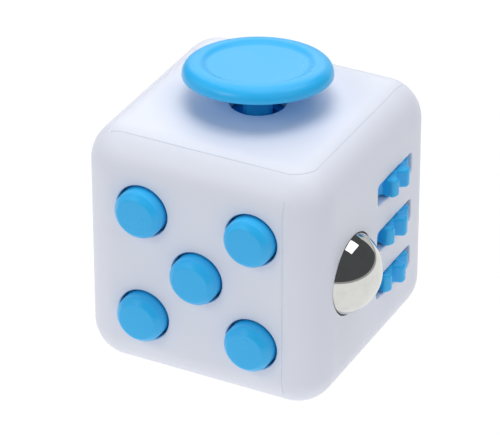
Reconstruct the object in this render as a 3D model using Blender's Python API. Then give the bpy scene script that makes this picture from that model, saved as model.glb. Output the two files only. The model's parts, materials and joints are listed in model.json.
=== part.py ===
"""Fidget cube: a 33 mm hand toy with a different control on each of its six faces.

Front (-Y): five push buttons laid out like the five on a die.
Right (+X): a steel ball to roll and press, and three cog wheels on one axle.
Top (+Z): a gliding thumb disc.  Left (-X): a spinning dial.
Back (+Y): a rocker switch.  Bottom (-Z): an oval worry-stone hollow.

Sizes below are in millimetres.  The origin is on the ground, under the cube's centre.
Each control is modelled in the frame of its own face: local +Z points out of the face.
"""
import math

import bmesh
import bpy
from mathutils import Matrix, Vector

MM = 0.001

# ---- driving dimensions of the case -------------------------------------------------
SIDE = 33.0
HALF = SIDE / 2
EDGE_RADIUS = 5.07
WALL = 1.6
GAP = 0.3
SEAM = 0.24
CAVITY_HALF = HALF - WALL
CAVITY_RADIUS = EDGE_RADIUS - WALL
PANEL_INSET = 2.93
PANEL_HALF = HALF - PANEL_INSET
PANEL_CORNER = 2.8
CORNER_SEAM_X = 11.7
TAB_OUTER = 0.3
TAB_INNER = 1.2
TAB_HALF_WIDTH = 2.0
TAB_HEIGHT = 2.4
PAST = 1.0
BLIND = 0.6

# ---- fasteners ----------------------------------------------------------------------
SHANK_RADIUS = 0.5
SCREW_HOLE = SHANK_RADIUS + GAP
HEAD_RADIUS = 1.2
HEAD_HEIGHT = 0.8
SCREW_POINT = 0.4
BOSS_RADIUS = 1.3
PLATE_SCREW = 3.4
WALL_SCREW = 2.5
FRAME_SCREW = 2.4
BASE_SCREW = 6.6
FOOT_SCREW = 3.6
DIAL_SCREW = 3.0

# ---- front: buttons -----------------------------------------------------------------
BUTTON_PITCH = 7.47
BUTTON_HOLE = 3.49
BUTTON_RADIUS = 3.3
BUTTON_RISE = 1.9
BUTTON_ROUND = 1.2
BUTTON_CROWN = 0.05
BUTTON_FLANGE = 4.0
FLANGE_OUTER = -WALL - GAP
FLANGE_INNER = FLANGE_OUTER - 0.8
PLUNGER_RADIUS = 1.2
PLUNGER_END = FLANGE_INNER - 0.7
DOME_RADIUS = 2.9
DOME_TOP = PLUNGER_END - GAP
DOME_HEIGHT = 1.0
DOME_SHEET = 0.3
DOME_CROWN = 0.9
QUIET_SHEET = 0.45
QUIET_CROWN = 1.5
PLATE_OUTER = DOME_TOP - DOME_HEIGHT - GAP
PLATE_THICK = 1.0
PLATE_HALF = 12.0
PLATE_CORNER = 2.0
PLATE_NOTCH = 6.15
PLATE_SCREWS = [(0.0, 10.3), (0.0, -10.3), (-5.4, 0.0), (5.4, 0.0)]

# ---- right: ball and cog wheels -----------------------------------------------------
BALL_RADIUS = 5.556
BALL_X = 14.5
BALL_Y = -6.9
SEAT_RADIUS = BALL_RADIUS + 0.15
CUP_INNER = BALL_RADIUS + GAP
CUP_OUTER = 6.5
CUP_ANGLE = math.radians(62)
CUP_BOSS = 2.6
CUP_BACK = -7.0
BALL_TRAVEL = 0.75
BALL_SPRING_RADIUS = 1.4
BALL_SPRING_TURNS = 2.5
BRACKET_Y = (-8.8, -4.2)
BRACKET_BACK = (3.9, 4.7)
BRACKET_LEG = (6.9, 7.9)
BRACKET_FOOT = 11.0
BRACKET_SCREW_Z = 9.6
FOOT_FACE = (13.3, 14.1)

GEAR_X = 12.05
GEAR_Y = 5.1
GEAR_Z = 16.82
GEAR_PITCH = 6.73
GEAR_TEETH = 11
GEAR_TIP = 5.9
GEAR_ROOT = 4.4
GEAR_THICK = 2.55
GEAR_BORE = 1.4
GEAR_TURN = {"upper": math.radians(13.5), "middle": math.radians(7), "lower": math.radians(4.3)}
TOOTH_TIP_WIDTH = 1.2
TOOTH_ROOT_WIDTH = 2.0
TOOTH_CORNER = 0.3
SLOT_HALF_LENGTH = 4.9
SLOT_HALF_HEIGHT = 1.5
SLOT_CORNER = 0.6
SLOT_LIP = 0.7
SLOT_RELIEF = 5.45
AXLE_RADIUS = 1.1
AXLE_BEVEL = 0.2
AXLE_ENDS = (4.0, 29.0)
SPACER_RADIUS = 2.2
ARM_LEVELS = {"lower": (5.2, 6.4), "upper": (26.6, 27.8)}
FLANGE_LEVELS = {"lower": (5.2, 7.6), "upper": (25.4, 27.8)}
ARM_HALF_WIDTH = 2.2
FLANGE_Y = (-2.3, 12.3)
FLANGE_SINK = 0.4
CLIP_THICK = 0.5
CLIP_RADIUS = 2.0
CLIP_MOUTH_DEG = 35
AXLE_SCREW_Y = (-1.0, 11.0)

# ---- top: gliding disc --------------------------------------------------------------
# The disc has play in its slider and rests leaning back, away from LEAN_AZIMUTH.
GLIDE_HOLE = 3.57
STEM_RADIUS = 1.85
STEM_PLAY = 0.2
DISC_RADIUS = 9.37
DISC_EQUATOR = 3.82
DISC_CREST_RADIUS = 7.5
DISC_CREST = 5.17
DISC_FLOOR_RADIUS = 6.1
DISC_FLOOR = 4.83
DISC_UNDERSIDE = 3.0
DISC_SOCKET = -1.0
GLIDE_TRAVEL = 0.9
LEAN = math.radians(6)
LEAN_AZIMUTH = math.radians(27)
LEAN_LEVEL = 30.2
SLIDER_LEVELS = (29.5, 30.9)
SLIDER_HALF = (4.9, 5.3)
SLIDER_CORNER = 0.8
FOOT_LEVELS = (27.9, 29.2)
FOOT_RADIUS = 3.2
FOOT_BEVEL = 0.3
BASE_LEVELS = (25.6, 31.1)
BASE_FLOOR = 26.4
BASE_HALF = (7.2, 8.0)
BASE_CORNER = 1.2
BASE_POCKET = (6.4, 5.6)
BASE_SCREWS = (4.6, 6.8)
SPIRAL_LEVEL = 26.95
SPIRAL_RADII = (3.4, 5.2)
SPIRAL_TURNS = 2.25
WIRE_RADIUS = 0.22

# ---- left: dial ---------------------------------------------------------------------
DIAL_RECESS = 9.8
DIAL_RADIUS = 9.5
DIAL_FLOOR_RADIUS = 10.8
DIAL_FLOOR = (-1.3, -2.9)
DIAL_RISE = 0.7
DIAL_BACK = -1.0
DIAL_DISH = 0.35
DIAL_DISH_RADII = (4.0, 7.6)
DIAL_EDGE = 0.7
DIAL_SOCKET = -1.6
HUB_RADIUS = 1.6
HUB_END = -4.2
NUB_OFFSET = 6.1
NUB_RADIUS = 1.9
NUB_RISE = 2.9
NUB_ROUND = 1.1
NUB_FLARE = 0.2
BUSHING_RADIUS = 2.6
BUSHING_BORE = 1.9
BUSHING_FLANGE = 3.8
BUSHING_FLANGE_THICK = 0.6
WASHER_RADIUS = 3.2
WASHER_THICK = 0.5

# ---- back: rocker -------------------------------------------------------------------
ROCKER_PIVOT_Y = 13.2
ROCKER_TILT = math.radians(11)
ROCKER_HALF_WIDTH = 4.4
ROCKER_HALF_LENGTH = 7.3
ROCKER_FACE = 4.4
ROCKER_DIP = 0.7
ROCKER_SKIRT = 0.9
ROCKER_HUB = 2.0
ROCKER_OPENING = (4.7, 8.3)
ROCKER_OPENING_CORNER = 0.9
PIN_RADIUS = 0.7
PIN_HALF_LENGTH = 6.1
PIN_BORE = 1.0
FRAME_Y = (8.9, 14.6)
FRAME_FLOOR = 9.9
FRAME_HALF = (6.4, 9.3)
FRAME_POCKET = (5.0, 8.4)
FRAME_TAB = 12.2
FRAME_TAB_HALF_WIDTH = 2.2
FRAME_TAB_THICK = 0.9
FRAME_SCREW_Z = 10.9
LEAF_Y = 10.3
LEAF_RISE = 0.45
LEAF_HALF_LENGTH = 6.0
LEAF_HALF_WIDTH = 2.0
LEAF_THICK = 0.25

# ---- bottom: worry-stone hollow -----------------------------------------------------
HOLLOW_HALF = (8.0, 6.0)
HOLLOW_DEPTH = 2.6
HOLLOW_CURVE = 6.0
HOLLOW_SKIN = 1.4

# ---- facets round a full turn ---------------------------------------------------------
CASE_STEPS = 6
CAVITY_STEPS = 3
LARGE_ROUND = 28
MEDIUM_ROUND = 20
SMALL_ROUND = 16
TINY_ROUND = 8

# ---- finishes: colour, roughness, metallic -------------------------------------------
WHITE_PLASTIC = ((0.80, 0.81, 0.85), 0.45, 0.0)
BLUE_PLASTIC = ((0.09, 0.42, 0.85), 0.35, 0.0)
GREY_PLASTIC = ((0.35, 0.36, 0.38), 0.55, 0.0)
NATURAL_PLASTIC = ((0.74, 0.73, 0.68), 0.50, 0.0)
SILICONE = ((0.55, 0.56, 0.58), 0.70, 0.0)
CHROME = ((0.80, 0.81, 0.82), 0.08, 1.0)
STEEL = ((0.56, 0.57, 0.58), 0.30, 1.0)
ZINC = ((0.60, 0.60, 0.57), 0.35, 1.0)
BRASS = ((0.72, 0.53, 0.24), 0.30, 1.0)

# ---- directions: the rotation that turns local +Z out of each face --------------------
FRONT = (math.radians(90), 0, 0)
BACK = (math.radians(-90), 0, 0)
RIGHT = (0, math.radians(90), 0)
LEFT = (0, math.radians(-90), 0)
UP = (0, 0, 0)
DOWN = (math.radians(180), 0, 0)
CENTRE_Z = HALF


# ---- outlines -----------------------------------------------------------------------
def arc(centre, radius, start_deg, end_deg, steps):
    """Points of a circular arc from start to end, both included."""
    points = []
    for step in range(steps + 1):
        angle = math.radians(start_deg + (end_deg - start_deg) * step / steps)
        points.append((centre[0] + radius * math.cos(angle), centre[1] + radius * math.sin(angle)))
    return points


def rounded_rectangle(half_x, half_y, radius, steps=4):
    """Outline of a rectangle with round corners, counter-clockwise."""
    x = half_x - radius
    y = half_y - radius
    corners = [((x, y), 0), ((-x, y), 90), ((-x, -y), 180), ((x, -y), 270)]
    points = []
    for centre, start in corners:
        points += arc(centre, radius, start, start + 90, steps)
    return points


def gear_outline():
    """Outline of a cog wheel whose first tooth is centred on local +X."""
    points = []
    tip = TOOTH_TIP_WIDTH / 2
    root = TOOTH_ROOT_WIDTH / 2
    tooth = [
        (GEAR_ROOT, -root),
        (GEAR_TIP - TOOTH_CORNER, -tip),
        (GEAR_TIP, -tip + TOOTH_CORNER),
        (GEAR_TIP, tip - TOOTH_CORNER),
        (GEAR_TIP - TOOTH_CORNER, tip),
        (GEAR_ROOT, root),
    ]
    for index in range(GEAR_TEETH):
        turn = Matrix.Rotation(math.tau * index / GEAR_TEETH, 2)
        for point in tooth:
            points.append(tuple(turn @ Vector(point)))
    return points


def rocker_outline():
    """Side view of the rocker: local x runs out of the cube, local y up."""
    length = ROCKER_HALF_LENGTH
    face = []
    steps = 8
    for step in range(steps + 1):
        y = -length + 2 * length * step / steps
        face.append((ROCKER_FACE - ROCKER_DIP * (1 - (y / length) ** 2), y))
    half_chord = math.sqrt(ROCKER_HUB ** 2 - ROCKER_SKIRT ** 2)
    start = math.degrees(math.atan2(half_chord, ROCKER_SKIRT))
    hub = arc((0, 0), ROCKER_HUB, start, 360 - start, steps)
    return face + [(ROCKER_SKIRT, length)] + hub + [(ROCKER_SKIRT, -length)]


# ---- bodies as bmesh, in millimetres ---------------------------------------------------
def finish_faces(bm):
    bmesh.ops.recalc_face_normals(bm, faces=bm.faces[:])
    return bm


def revolve(outline, segments=MEDIUM_ROUND):
    """Turn an outline of (radius, height) points about local Z into a closed body."""
    bm = bmesh.new()
    rings = []
    for radius, height in outline:
        if radius < 1e-6:
            rings.append([bm.verts.new((0, 0, height))])
            continue
        ring = []
        for step in range(segments):
            angle = math.tau * step / segments
            ring.append(bm.verts.new((radius * math.cos(angle), radius * math.sin(angle), height)))
        rings.append(ring)
    pairs = list(zip(rings, rings[1:]))
    if len(rings[0]) > 1:
        pairs.append((rings[-1], rings[0]))
    for low, high in pairs:
        for step in range(segments):
            following = (step + 1) % segments
            corners = [low[step % len(low)], low[following % len(low)]]
            corners += [high[following % len(high)], high[step % len(high)]]
            bm.faces.new(list(dict.fromkeys(corners)))
    return finish_faces(bm)


def prism(outline, low, high):
    """Straight extrusion of a flat outline along local Z."""
    bm = bmesh.new()
    bottom = [bm.verts.new((x, y, low)) for x, y in outline]
    top = [bm.verts.new((x, y, high)) for x, y in outline]
    bm.faces.new(bottom)
    bm.faces.new(top)
    for index in range(len(outline)):
        following = (index + 1) % len(outline)
        bm.faces.new([bottom[index], bottom[following], top[following], top[index]])
    return finish_faces(bm)


def block(low, high):
    """Box between two corners."""
    outline = [(low[0], low[1]), (high[0], low[1]), (high[0], high[1]), (low[0], high[1])]
    return prism(outline, low[2], high[2])


def disc(radius, low, high, segments=MEDIUM_ROUND):
    """Plain round bar along local Z."""
    return prism(arc((0, 0), radius, 0, 360 - 360 / segments, segments - 1), low, high)


def rounded_cube(half, radius, segments):
    """Cube with every edge and corner rounded, standing with its centre at CENTRE_Z."""
    bm = bmesh.new()
    bmesh.ops.create_cube(bm, size=2 * half)
    edges = bm.edges[:]
    bmesh.ops.bevel(bm, geom=edges, offset=radius, segments=segments, profile=0.5, affect="EDGES")
    bmesh.ops.translate(bm, verts=bm.verts[:], vec=(0, 0, CENTRE_Z))
    return finish_faces(bm)


def wire(points, radius, sides=5):
    """Round wire along a list of points, with flat ends."""
    bm = bmesh.new()
    rings = []
    for index, point in enumerate(points):
        before = Vector(points[max(index - 1, 0)])
        after = Vector(points[min(index + 1, len(points) - 1)])
        along = (after - before).normalized()
        across = along.cross(Vector((0, 0, 1))).normalized()
        upward = across.cross(along)
        ring = []
        for side in range(sides):
            angle = math.tau * side / sides
            offset = across * math.cos(angle) + upward * math.sin(angle)
            ring.append(bm.verts.new(Vector(point) + offset * radius))
        rings.append(ring)
    for low, high in zip(rings, rings[1:]):
        for side in range(sides):
            following = (side + 1) % sides
            bm.faces.new([low[side], low[following], high[following], high[side]])
    bm.faces.new(rings[0])
    bm.faces.new(rings[-1])
    return finish_faces(bm)


def gather(bodies):
    """Put several guide bodies, each moved by its own matrix, into one bmesh."""
    gathered = bmesh.new()
    for bm, matrix in bodies:
        bm.transform(matrix)
        scratch = bpy.data.meshes.new("scratch")
        bm.to_mesh(scratch)
        gathered.from_mesh(scratch)
        bpy.data.meshes.remove(scratch)
        bm.free()
    return gathered


def screw(length):
    """Pan-head screw: the head stands on local z = 0 and the shank runs down."""
    outline = [
        (0, 0.45 * HEAD_HEIGHT),
        (0.4 * HEAD_RADIUS, HEAD_HEIGHT),
        (0.8 * HEAD_RADIUS, HEAD_HEIGHT),
        (HEAD_RADIUS, 0.6 * HEAD_HEIGHT),
        (HEAD_RADIUS, 0),
        (SHANK_RADIUS, 0),
        (SHANK_RADIUS, SCREW_POINT - length),
        (0, -length),
    ]
    return revolve(outline, TINY_ROUND)


def shift(x, y, z):
    return Matrix.Translation((x, y, z))


def facing(rotation, x, y, z):
    """Matrix that puts a local frame at a point, turned as one of the directions above."""
    turn = Matrix.Rotation(rotation[1], 4, "Y") @ Matrix.Rotation(rotation[0], 4, "X")
    return Matrix.Translation((x, y, z)) @ turn


# ---- objects ------------------------------------------------------------------------
def add_object(name, bm, location=(0, 0, 0), rotation=UP):
    """Scale a body from millimetres to metres and place it as an object."""
    bmesh.ops.scale(bm, vec=(MM, MM, MM), verts=bm.verts[:])
    mesh = bpy.data.meshes.new(name)
    bm.to_mesh(mesh)
    bm.free()
    item = bpy.data.objects.new(name, mesh)
    item.location = Vector(location) * MM
    item.rotation_euler = rotation
    bpy.context.scene.collection.objects.link(item)
    return item


def add_part(name, bm, finish, location=(0, 0, 0), rotation=UP):
    """One sub-part of the cube, with its own material."""
    item = add_object(name, bm, location, rotation)
    item.data.shade_smooth()
    item.data.set_sharp_from_angle(angle=math.radians(32))
    colour, roughness, metallic = finish
    material = bpy.data.materials.new(name + "_finish")
    material.use_nodes = True
    shader = material.node_tree.nodes["Principled BSDF"]
    shader.inputs["Base Color"].default_value = (*colour, 1)
    shader.inputs["Roughness"].default_value = roughness
    shader.inputs["Metallic"].default_value = metallic
    item.data.materials.append(material)
    return item


def add_copies(names, bm, finish, places):
    """Several equal pieces that share one mesh; places lists (location, rotation)."""
    first = add_part(names[0], bm, finish, *places[0])
    for name, (location, rotation) in zip(names[1:], places[1:]):
        item = bpy.data.objects.new(name, first.data)
        item.location = Vector(location) * MM
        item.rotation_euler = rotation
        bpy.context.scene.collection.objects.link(item)


def add_screws(name, length, places):
    names = [f"{name}_{index + 1}" for index in range(len(places))]
    add_copies(names, screw(length), ZINC, places)


def combine(item, operation, tool_name, bm, location=(0, 0, 0), rotation=UP):
    """Cut, join or intersect an object with a guide body that isn't part of the model."""
    tool = add_object(tool_name, bm, location, rotation)
    tool.hide_render = True
    tool.display_type = "WIRE"
    modifier = item.modifiers.new(tool_name, "BOOLEAN")
    modifier.operation = operation
    modifier.object = tool


def add_pivot(name, location, rotation=UP):
    """Empty on a joint axis, for pieces that move together."""
    pivot = bpy.data.objects.new(name, None)
    pivot.empty_display_size = 0.004
    pivot.location = Vector(location) * MM
    pivot.rotation_euler = rotation
    bpy.context.scene.collection.objects.link(pivot)
    return pivot


# ---- case ---------------------------------------------------------------------------
def panel_prism(margin, low, high):
    half = PANEL_HALF + margin
    return prism(rounded_rectangle(half, half, PANEL_CORNER + margin), low, high)


def wall_region(side):
    """Plan of the front and left walls (side -1) or of the right and back walls (side +1)."""
    reach = HALF + PAST
    inner = HALF - 2 * WALL
    front_x = CORNER_SEAM_X + side * SEAM / 2
    back_x = -CORNER_SEAM_X + side * SEAM / 2
    border = [(back_x, reach), (back_x, inner), (front_x, -inner), (front_x, -reach)]
    far = [(side * reach, -reach), (side * reach, reach)]
    return prism(border + far, -PAST, SIDE + PAST)


def add_wall_shell(name, side):
    """One of the two L-shaped shells that make the four walls."""
    shell = add_part(name, rounded_cube(HALF, EDGE_RADIUS, CASE_STEPS), WHITE_PLASTIC)
    combine(shell, "DIFFERENCE", name + "_cavity", rounded_cube(CAVITY_HALF, CAVITY_RADIUS, CAVITY_STEPS))
    windows = [
        (panel_prism(SEAM / 2, HALF + PAST, SIDE + PAST), Matrix.Identity(4)),
        (panel_prism(SEAM / 2, -PAST, HALF - PAST), Matrix.Identity(4)),
    ]
    combine(shell, "DIFFERENCE", name + "_windows", gather(windows))
    combine(shell, "INTERSECT", name + "_region", wall_region(side))
    return shell


def make_front_left_shell():
    """Front wall with the button holes, left wall with the dial's recess."""
    shell = add_wall_shell("front_left_shell", -1)
    bosses = []
    for x, z in PLATE_SCREWS:
        boss = disc(BOSS_RADIUS, PLATE_OUTER + GAP, -WALL / 2, TINY_ROUND)
        bosses.append((boss, facing(FRONT, x, -HALF, CENTRE_Z + z)))
    floor = disc(DIAL_FLOOR_RADIUS, DIAL_FLOOR[1], -WALL / 2, LARGE_ROUND)
    bosses.append((floor, facing(LEFT, -HALF, 0, CENTRE_Z)))
    combine(shell, "UNION", "front_left_bosses", gather(bosses))
    holes = []
    for x, z in button_places().values():
        hole = disc(BUTTON_HOLE, -WALL - PAST, PAST, MEDIUM_ROUND)
        holes.append((hole, facing(FRONT, x, -HALF, CENTRE_Z + z)))
    for x, z in PLATE_SCREWS:
        hole = disc(SCREW_HOLE, PLATE_OUTER - PAST, -WALL, TINY_ROUND)
        holes.append((hole, facing(FRONT, x, -HALF, CENTRE_Z + z)))
    top, bottom = DIAL_FLOOR
    bore = BUSHING_RADIUS + GAP
    recess = [(0, bottom - PAST), (bore, bottom - PAST), (bore, top)]
    recess += [(DIAL_RECESS, top), (DIAL_RECESS, PAST), (0, PAST)]
    holes.append((revolve(recess, LARGE_ROUND), facing(LEFT, -HALF, 0, CENTRE_Z)))
    combine(shell, "DIFFERENCE", "front_left_holes", gather(holes))


def wall_screw_places():
    """Where screws enter the right wall: (y, z) of the ball bracket's and axle brackets' screws."""
    middle_y = (BRACKET_Y[0] + BRACKET_Y[1]) / 2
    places = [(middle_y, CENTRE_Z - BRACKET_SCREW_Z), (middle_y, CENTRE_Z + BRACKET_SCREW_Z)]
    for low, high in FLANGE_LEVELS.values():
        for y in AXLE_SCREW_Y:
            places.append((y, (low + high) / 2))
    return places


def make_right_back_shell():
    """Right wall with the ball seat and cog slots, back wall with the rocker's opening."""
    shell = add_wall_shell("right_back_shell", 1)
    bosses = []
    for y, z in wall_screw_places():
        boss = disc(BOSS_RADIUS, FOOT_FACE[1] + GAP - HALF, -WALL / 2, TINY_ROUND)
        bosses.append((boss, facing(RIGHT, HALF, y, z)))
    combine(shell, "UNION", "right_back_bosses", gather(bosses))
    holes = []
    for y, z in wall_screw_places():
        hole = disc(SCREW_HOLE, -2 * WALL, -BLIND, TINY_ROUND)
        holes.append((hole, facing(RIGHT, HALF, y, z)))
    for side in (-1, 1):
        hole = disc(SCREW_HOLE, -2 * WALL, -BLIND, TINY_ROUND)
        holes.append((hole, facing(BACK, 0, HALF, CENTRE_Z + side * FRAME_SCREW_Z)))
    seat = revolve(sphere_outline(SEAT_RADIUS, 10), LARGE_ROUND)
    holes.append((seat, facing(RIGHT, BALL_X, BALL_Y, CENTRE_Z)))
    reliefs = []
    for level in gear_levels().values():
        slot = rounded_rectangle(SLOT_HALF_HEIGHT, SLOT_HALF_LENGTH, SLOT_CORNER, 3)
        holes.append((prism(slot, -WALL - PAST, PAST), facing(RIGHT, HALF, GEAR_Y, level)))
        relief = rounded_rectangle(SLOT_HALF_HEIGHT, SLOT_RELIEF, SLOT_CORNER, 3)
        reliefs.append((prism(relief, -WALL - PAST, -SLOT_LIP), facing(RIGHT, HALF, GEAR_Y, level)))
    opening = prism(rounded_rectangle(*ROCKER_OPENING, ROCKER_OPENING_CORNER, 3), -WALL - PAST, PAST)
    holes.append((opening, facing(BACK, 0, HALF, CENTRE_Z)))
    combine(shell, "DIFFERENCE", "right_back_holes", gather(holes))
    combine(shell, "DIFFERENCE", "slot_reliefs", gather(reliefs))


def panel_tabs(low, high):
    """Four locating tabs that keep a panel square inside the walls."""
    tabs = []
    inner = PANEL_HALF - TAB_INNER
    outer = PANEL_HALF - TAB_OUTER
    for turn in range(4):
        tab = block((inner, -TAB_HALF_WIDTH, low), (outer, TAB_HALF_WIDTH, high))
        tabs.append((tab, Matrix.Rotation(turn * math.pi / 2, 4, "Z")))
    return gather(tabs)


def make_top_panel():
    panel = add_part("top_panel", rounded_cube(HALF, EDGE_RADIUS, CASE_STEPS), WHITE_PLASTIC)
    combine(panel, "INTERSECT", "top_panel_outline", panel_prism(-SEAM / 2, SIDE - WALL, SIDE + PAST))
    combine(panel, "UNION", "top_panel_tabs", panel_tabs(SIDE - WALL - TAB_HEIGHT, SIDE - WALL / 2))
    holes = [(disc(GLIDE_HOLE, SIDE - WALL - PAST, SIDE + PAST, MEDIUM_ROUND), Matrix.Identity(4))]
    for x in (-BASE_SCREWS[0], BASE_SCREWS[0]):
        for y in (-BASE_SCREWS[1], BASE_SCREWS[1]):
            holes.append((disc(SCREW_HOLE, SIDE - WALL - PAST, SIDE - BLIND, TINY_ROUND), shift(x, y, 0)))
    combine(panel, "DIFFERENCE", "top_panel_holes", gather(holes))


def oval_cap(margin, low):
    """Solid cap of the hollow's oval bowl, grown by a margin, standing on a flat at low."""
    centre = HOLLOW_DEPTH - HOLLOW_CURVE
    spread = math.sqrt(1 - (centre / HOLLOW_CURVE) ** 2)
    curve = HOLLOW_CURVE + margin
    outline = [(0, low)]
    steps = 5
    for step in range(steps + 1):
        height = low + (centre + curve - low) * math.sin(math.pi / 2 * step / steps)
        radius = math.sqrt(max(0.0, 1 - ((height - centre) / curve) ** 2))
        outline.append((radius, height))
    bm = revolve(outline, LARGE_ROUND)
    stretch_x = HOLLOW_HALF[0] / spread + margin
    stretch_y = HOLLOW_HALF[1] / spread + margin
    bmesh.ops.scale(bm, vec=(stretch_x, stretch_y, 1), verts=bm.verts[:])
    return bm


def make_bottom_panel():
    panel = add_part("bottom_panel", rounded_cube(HALF, EDGE_RADIUS, CASE_STEPS), WHITE_PLASTIC)
    combine(panel, "INTERSECT", "bottom_panel_outline", panel_prism(-SEAM / 2, -PAST, WALL))
    combine(panel, "UNION", "bottom_panel_tabs", panel_tabs(WALL / 2, WALL + TAB_HEIGHT))
    combine(panel, "UNION", "hollow_backing", oval_cap(HOLLOW_SKIN, WALL / 2))
    combine(panel, "DIFFERENCE", "hollow_bowl", oval_cap(0, -PAST))


# ---- front module ----------------------------------------------------------------------
def button_places():
    """Name and (x, z) place of each button, measured from the face's centre."""
    step = BUTTON_PITCH
    return {
        "ul": (-step, step),
        "ur": (step, step),
        "centre": (0.0, 0.0),
        "ll": (-step, -step),
        "lr": (step, -step),
    }


def button_outline():
    flat = BUTTON_RADIUS - BUTTON_ROUND
    crown = BUTTON_RISE - BUTTON_ROUND
    edge = arc((flat, crown), BUTTON_ROUND, 84, 0, 3)
    return [(0, BUTTON_RISE + BUTTON_CROWN)] + edge + [
        (BUTTON_RADIUS, FLANGE_OUTER),
        (BUTTON_FLANGE, FLANGE_OUTER),
        (BUTTON_FLANGE, FLANGE_INNER),
        (PLUNGER_RADIUS, FLANGE_INNER),
        (PLUNGER_RADIUS, PLUNGER_END),
        (0, PLUNGER_END),
    ]


def dome_outline(sheet, crown_radius):
    """Shallow dome sheet that snaps or folds under a button, and its hollow below."""
    base = DOME_TOP - DOME_HEIGHT
    shoulder = (0.75 * DOME_RADIUS, DOME_TOP - DOME_HEIGHT / 2)
    crown = (crown_radius, DOME_TOP - 0.08 * DOME_HEIGHT)
    outer = [(0, DOME_TOP), crown, shoulder, (DOME_RADIUS, base + 0.1 * DOME_HEIGHT), (DOME_RADIUS, base)]
    inner = [(DOME_RADIUS - sheet, base), (shoulder[0] - sheet, shoulder[1] - 0.8 * sheet)]
    inner += [(crown[0] - 0.4 * sheet, crown[1] - sheet), (0, DOME_TOP - sheet)]
    return outer + inner


def make_buttons():
    quiet = ("ur", "ll")
    for name, (x, z) in button_places().items():
        place = (x, -HALF, CENTRE_Z + z)
        add_part("button_" + name, revolve(button_outline()), BLUE_PLASTIC, place, FRONT)
        if name in quiet:
            sheet = revolve(dome_outline(QUIET_SHEET, QUIET_CROWN), SMALL_ROUND)
            add_part("quiet_dome_" + name, sheet, SILICONE, place, FRONT)
        else:
            sheet = revolve(dome_outline(DOME_SHEET, DOME_CROWN), SMALL_ROUND)
            add_part("snap_dome_" + name, sheet, STEEL, place, FRONT)


def make_button_plate():
    """Plate behind the domes, notched for the ball's cup, and its four screws."""
    inner = PLATE_OUTER - PLATE_THICK
    outline = rounded_rectangle(PLATE_HALF, PLATE_HALF, PLATE_CORNER, 3)
    plate = add_part("button_plate", prism(outline, inner, PLATE_OUTER), GREY_PLASTIC,
                     (0, -HALF, CENTRE_Z), FRONT)
    cuts = []
    for x, z in PLATE_SCREWS:
        cuts.append((disc(SCREW_HOLE, inner - PAST, PLATE_OUTER + PAST, TINY_ROUND), shift(x, z, 0)))
    notch_x = BALL_X - BALL_TRAVEL
    cuts.append((disc(PLATE_NOTCH, inner - PAST, PLATE_OUTER + PAST), shift(notch_x, 0, 0)))
    combine(plate, "DIFFERENCE", "button_plate_cuts", gather(cuts), (0, -HALF, CENTRE_Z), FRONT)
    head_y = -HALF - inner + GAP
    places = [((x, head_y, CENTRE_Z + z), BACK) for x, z in PLATE_SCREWS]
    add_screws("button_plate_screw", PLATE_SCREW, places)


# ---- right module: ball ------------------------------------------------------------------
def sphere_outline(radius, steps):
    return [(0, -radius)] + arc((0, 0), radius, -75, 75, steps) + [(0, radius)]


def make_ball():
    """Steel ball, its spring-backed cup and the bracket behind them."""
    centre = (BALL_X, BALL_Y, CENTRE_Z)
    carrier = add_pivot("ball_carrier_pivot", centre, RIGHT)
    ball = add_part("roll_ball", revolve(sphere_outline(BALL_RADIUS, 8)), CHROME)
    ball.parent = carrier
    open_deg = -90 + math.degrees(CUP_ANGLE)
    inside = [(0, -CUP_INNER)] + arc((0, 0), CUP_INNER, -75, open_deg, 4)
    boss_edge = -math.sqrt(CUP_OUTER ** 2 - CUP_BOSS ** 2)
    outside = arc((0, 0), CUP_OUTER, open_deg, -60, 3)
    boss = [(CUP_BOSS, boss_edge), (CUP_BOSS, CUP_BACK), (0, CUP_BACK)]
    cup = add_part("ball_cup", revolve(inside + outside + boss), NATURAL_PLASTIC)
    cup.parent = carrier
    make_ball_spring()
    make_ball_bracket()


def make_ball_spring():
    start = BRACKET_BACK[1] + GAP + WIRE_RADIUS
    end = BALL_X + CUP_BACK - GAP - WIRE_RADIUS
    points = []
    steps = 25
    for step in range(steps + 1):
        angle = math.tau * BALL_SPRING_TURNS * step / steps
        along = (end - start) * step / steps
        reach = BALL_SPRING_RADIUS
        points.append((reach * math.cos(angle), reach * math.sin(angle), along))
    place = (start, BALL_Y, CENTRE_Z)
    add_part("ball_spring", wire(points, WIRE_RADIUS), STEEL, place, RIGHT)


def make_ball_bracket():
    """U-shaped strap that backs the spring and is screwed to the right wall."""
    back = BRACKET_BACK
    low_leg, high_leg = BRACKET_LEG
    outline = [(back[0], -high_leg), (FOOT_FACE[0], -high_leg), (FOOT_FACE[0], -BRACKET_FOOT)]
    outline += [(FOOT_FACE[1], -BRACKET_FOOT), (FOOT_FACE[1], -low_leg), (back[1], -low_leg)]
    outline += [(x, -z) for x, z in reversed(outline)]
    width = BRACKET_Y[1] - BRACKET_Y[0]
    place = (0, BRACKET_Y[1], CENTRE_Z)
    bracket = add_part("ball_bracket", prism(outline, 0, width), ZINC, place, FRONT)
    middle_y = (BRACKET_Y[0] + BRACKET_Y[1]) / 2
    holes = []
    screws = []
    for side in (-1, 1):
        z = CENTRE_Z + side * BRACKET_SCREW_Z
        holes.append((disc(SCREW_HOLE, -PAST, WALL, TINY_ROUND), facing(RIGHT, FOOT_FACE[0], middle_y, z)))
        screws.append(((FOOT_FACE[0] - GAP, middle_y, z), LEFT))
    combine(bracket, "DIFFERENCE", "ball_bracket_holes", gather(holes))
    add_screws("ball_bracket_screw", WALL_SCREW, screws)


# ---- right module: cog wheels ----------------------------------------------------------------
def gear_levels():
    return {
        "upper": GEAR_Z + GEAR_PITCH,
        "middle": GEAR_Z,
        "lower": GEAR_Z - GEAR_PITCH,
    }


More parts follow.
